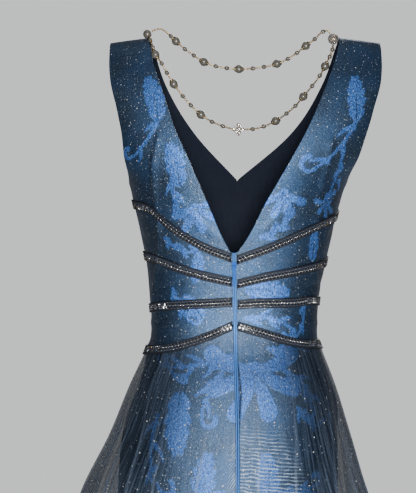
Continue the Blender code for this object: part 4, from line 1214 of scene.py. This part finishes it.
# Painted shade: a dark navy line down the middle where the two lips meet, stronger below the waist
groove_shade_line = spread(zip_finish, math_node(zip_finish, "ABSOLUTE", across.outputs["X"]), 0.0008, 0.0003)
below_waist = spread(zip_finish, across.outputs["Y"], -0.44, -0.50, 0.55, 1.0)
painted_groove_shade = math_node(zip_finish, "MULTIPLY", groove_shade_line, below_waist)
tape_colour = blend(zip_finish, painted_groove_shade, tape_colour, (0.006, 0.030, 0.130))
join_to(zip_finish, tape_colour, zip_shader, "Base Color")
bump(zip_finish, zip_shader, weave, 0.4, 0.0004)
drops = np.linspace(BACK_NECK_DROP - 0.001, ZIP_FOOT_DROP, 180)
half = gap_angle(drops, ZIP_HALF_WIDTH)
offsets = np.array([share for share, lift in ZIP_LIPS])
lifts = np.array([lift for share, lift in ZIP_LIPS])
angle = zip_angle(drops)[:, None] + half[:, None] * offsets
grid = {
    "points": gown_form.raised(angle, drops[:, None] + 0 * angle, lifts + 0 * angle),
    "places": np.stack(np.broadcast_arrays(offsets * ZIP_HALF_WIDTH, -drops[:, None]), axis=-1),
}
tape = cloth_piece("closed_zip", [grid], 0.0004, zip_finish, zip_finish)
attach(tape, "gown")
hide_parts("zip_tape")

enamel_shader = frame["nodes"]["zip_pull"].data.materials[0].node_tree.nodes["Principled BSDF"]
enamel_shader.inputs["Base Color"].default_value = (0.018, 0.140, 0.520, 1)
enamel_shader.inputs["Roughness"].default_value = 0.75
enamel_shader.inputs["Coat Weight"].default_value = 0.0

# The inner skirt: three panels of the same damask, slim to the hem, hung from the waist seam
SKIRT_RINGS = (
    Ring(0.395, 0.1132, -0.0150, 0.0713, 0.0834),
    Ring(0.417, 0.1137, -0.0153, 0.0727, 0.0837),
    Ring(0.434, 0.1195, -0.0153, 0.0762, 0.0852),
    Ring(0.484, 0.1345, -0.0130, 0.0930, 0.0930),
    Ring(0.518, 0.1455, -0.0165, 0.1010, 0.0960),
    Ring(0.552, 0.1500, -0.0210, 0.1080, 0.1010),
    Ring(0.636, 0.1540, -0.0240, 0.1190, 0.1130),
    Ring(1.000, 0.1850, -0.0220, 0.1450, 0.1450),
    Ring(1.450, 0.2400, -0.0150, 0.2050, 0.2050),
)
SKIRT_FOLDS = (
    FoldRow(-66, -60, -56, 13.0, 0.0030, 0.0130),
    FoldRow(-24, -26, -28, 13.0, 0.0000, 0.0120),
    FoldRow(26, 24, 22, 13.0, 0.0000, 0.0120),
    FoldRow(70, 62, 58, 13.0, 0.0030, 0.0130),
    FoldRow(112, 114, 116, 13.0, 0.0035, 0.0140),
    FoldRow(150, 150, 150, 13.0, 0.0030, 0.0120),
    FoldRow(190, 190, 190, 13.0, 0.0030, 0.0120),
    FoldRow(236, 232, 230, 13.0, 0.0035, 0.0140),
)
SKIRT_HEM_DROP = 1.425
skirt_form = Form(SKIRT_RINGS, SKIRT_FOLDS)
SKIRT_FRONDS = (
    *blossom(10, 460, 270, 60, 6),
    *spray(-20, 440, 200, 90, -20, 5),
    *spray(-20, 450, 220, 80, 40, 4),
    *scalloped_leaf(-90, 490, 270, 80, 10),
    *spray(-110, 440, 280, 40, 40, 2),
    *spray(30, 430, 350, 60, 30, 5),
    *spray(50, 460, 340, 70, -60, 4),
    *spray(70, 510, 300, 50, 60, 4),
    *scalloped_leaf(-60, 640, 90, 70, -10),
    *scalloped_leaf(30, 640, 90, 70, 10),
    *spray(-120, 520, 260, 90, 20, 3),
)
LOWER_SHIFTS = ((0.190, 9), (0.395, -14), (0.600, 6), (0.800, -8))


def repeated(fronds, shifts):
    """The same figures again lower down, each time shifted sideways."""
    rows = list(fronds)
    for down, across in shifts:
        rows += [frond._replace(x=frond.x * 0.94 + across, drop=frond.drop + down * 1000) for frond in fronds]
    return tuple(row for row in rows if row.drop < 1430)


def panel_ends(side, drop):
    """The first and last angle of a skirt panel at a drop."""
    gap = gap_angle(drop)
    if side == "left":
        return -90 + gap, zip_angle(drop) - gap
    if side == "right":
        return zip_angle(drop) + gap, 90 - gap
    return 90 + gap, 270 - gap


def skirt_grid(side, shares, steps, hem):
    """The angles and drops of a skirt panel, from the waist seam to the hem."""
    nominal = WAIST_DROP + shares * (hem - WAIST_DROP)
    start, end = panel_ends(side, nominal)
    angle = start[:, None] + (end - start)[:, None] * steps
    top = band_drop(3, angle) + WAIST_GAP / 2
    return angle, top + shares[:, None] * (hem - top)


back_fronds = repeated(SKIRT_FRONDS, LOWER_SHIFTS)
front_fronds = mirrored(back_fronds)
SKIRT_SHARES = np.concatenate([np.linspace(0, 0.245, 104), np.linspace(0.25, 1.0, 120)])
skirt_middle = float(skirt_form.along(180.0, 0.60))
PANEL_NAMES = {"left": "back_left", "right": "back_right", "front": "front"}
SKIRT_WALL = 0.0010
SKIRT_PANELS = (
    ("left", 82, back_fronds, 0.0),
    ("right", 82, back_fronds, 0.0),
    ("front", 150, front_fronds, skirt_middle),
)
for side, columns, fronds, middle in SKIRT_PANELS:
    angle, drop = skirt_grid(side, SKIRT_SHARES, np.linspace(0, 1, columns + 1), SKIRT_HEM_DROP)
    grid = panel_grid(skirt_form, fronds, (), angle, drop, middle)
    name = PANEL_NAMES[side]
    piece = cloth_piece(f"inner_skirt_{name}", [grid], SKIRT_WALL, damask_finish, lining_and_painted_shade_finish)
    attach(piece, "gown")
    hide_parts(f"skirt_{name}")

# The overlay: three wide panels of sheer grey-blue tulle with scattered glitter, whose white flecks are painted glints,
# hung from the same seam over the inner skirt, with soft folds that open towards the hem
OVERLAY_WALL = 0.0008
MOIRE_STEP = 0.0047
tulle_finish, tulle_shader = new_finish("glitter_tulle", (0.12, 0.17, 0.26), 0.50, 0.80)
tulle_shader.inputs["Sheen Weight"].default_value = 0.12
tulle_shader.inputs["Sheen Roughness"].default_value = 0.3


def cloth_value(name):
    return put(tulle_finish, "ShaderNodeAttribute", attribute_name=name).outputs["Fac"]


streak_inputs = {"X": cloth_value("turn"), "Y": cloth_value("fall")}
streak_place = put(tulle_finish, "ShaderNodeCombineXYZ", streak_inputs).outputs[0]
streaks = put(tulle_finish, "ShaderNodeTexNoise", {"Vector": streak_place, "Scale": 1.0, "Detail": 4.0}).outputs["Fac"]
streaks = spread(tulle_finish, streaks, 0.38, 0.68)
crest_highlight_and_double_tulle = cloth_value("fold_edge")
tulle_colour = blend(tulle_finish, streaks, (0.030, 0.042, 0.068), (0.170, 0.235, 0.350))
# Painted highlight: a pale blue line along each fold's standing edge; the added cover below is the tulle lying double
tulle_colour = blend(tulle_finish, crest_highlight_and_double_tulle, tulle_colour, (0.34, 0.44, 0.62))
# Painted light: pale moiré stripes across the lit middle of the skirt, bright bands for light shimmering through the
# layered tulle
uneven = math_node(tulle_finish, "MULTIPLY", noise(tulle_finish, 42.0, 2.0), 1.9)
phase = math_node(tulle_finish, "ADD", cloth_value("ripple"), uneven)
wave = math_node(tulle_finish, "SINE", math_node(tulle_finish, "MULTIPLY", phase, 2 * math.pi))
broken = spread(tulle_finish, noise(tulle_finish, 120.0, 2.0), 0.36, 0.60, 0.35, 1.0)
broken = math_node(tulle_finish, "MULTIPLY", cloth_value("rippled"), broken)
painted_moire_stripes = math_node(tulle_finish, "MULTIPLY", spread(tulle_finish, wave, -0.1, 0.9), broken)
tulle_colour = blend(tulle_finish, painted_moire_stripes, tulle_colour, (0.50, 0.66, 0.90))
# Glitter: real flecks, coloured white and made less metallic so that each shows as a painted glint
small_flecks = specks(tulle_finish, 0.0090, 0.00048, 0.40)
large_flecks = specks(tulle_finish, 0.020, 0.00078, 0.55, 0.61)
tulle_glitter_and_painted_glints = math_node(tulle_finish, "MAXIMUM", small_flecks, large_flecks, clamp=True)
join_to(tulle_finish, blend(tulle_finish, tulle_glitter_and_painted_glints, tulle_colour, (0.95, 0.97, 1.0)), tulle_shader, "Base Color")
join_to(tulle_finish, spread(tulle_finish, tulle_glitter_and_painted_glints, 0.0, 1.0, 0.80, 0.20), tulle_shader, "Metallic")
bump(tulle_finish, tulle_shader, streaks, 0.3, 0.0008)
cover = math_node(tulle_finish, "MULTIPLY", cloth_value("cover"), spread(tulle_finish, streaks, 0.0, 1.0, 0.80, 1.20))
cover = math_node(tulle_finish, "ADD", cover, math_node(tulle_finish, "MULTIPLY", crest_highlight_and_double_tulle, 0.25))
cover = math_node(tulle_finish, "ADD", cover, math_node(tulle_finish, "MULTIPLY", painted_moire_stripes, 0.35))
join_to(tulle_finish, math_node(tulle_finish, "MAXIMUM", cover, tulle_glitter_and_painted_glints, clamp=True), tulle_shader, "Alpha")


def fold_edge(folds, angle, drop):
    """From 0 to 1: how near a place is to the standing edge of a fold, where the tulle lies double and a painted
    highlight runs along the crest.
    """
    above, below = fold_shares(drop)
    nearest = np.zeros(angle.shape)
    for fold in folds:
        if fold.hem_height > 0:
            nearest = np.maximum(nearest, above * np.exp(-((off_fold(fold, angle, above, below) / 0.55) ** 2)))
    return nearest


def soft_step(value, low, high):
    share = np.clip((value - low) / (high - low), 0.0, 1.0)
    return share * share * (3 - 2 * share)


OVERLAY_SHARES = np.concatenate([np.linspace(0, 0.27, 70), np.linspace(0.285, 1.0, 70)])
for side, columns in (("left", 110), ("right", 110), ("front", 200)):
    angle, drop = skirt_grid(side, OVERLAY_SHARES, np.linspace(0, 1, columns + 1), OVERLAY_HEM_DROP)
    across = gown_form.along(angle, drop)
    from_zip = across - gown_form.along(zip_angle(drop), drop)
    reach = np.clip(0.045 + 0.60 * (drop - 0.52), 0.045, 0.088)
    sideways = soft_step(from_zip, -0.022, -0.004) * soft_step(reach - from_zip, -0.012, 0.016)
    round_back = np.abs((angle + 180) % 360 - 180)
    grid = {
        "points": gown_form.point(angle, drop),
        "places": np.stack([across, -drop], axis=-1),
        "turn": angle / 1.1,
        "fall": drop / 0.10,
        "fold_edge": fold_edge(OVERLAY_FOLDS, angle, drop),
        "cover": 0.13 + 0.40 * soft_step(round_back, 22.0, 64.0),
        # Where the painted moiré stripes lie: the lit middle of the skirt below the waist, beside the zip
        "ripple": (-drop + 0.10 * np.maximum(from_zip, 0.0) + 1.3 * np.maximum(-from_zip, 0.0)) / MOIRE_STEP,
        "rippled": soft_step(drop, 0.515, 0.560) * soft_step(-drop, -0.95, -0.72) * sideways,
    }
    name = PANEL_NAMES[side]
    piece = cloth_piece(f"sheer_overlay_{name}", [grid], OVERLAY_WALL, tulle_finish, tulle_finish)
    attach(piece, "gown")
    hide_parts(f"overlay_{name}")
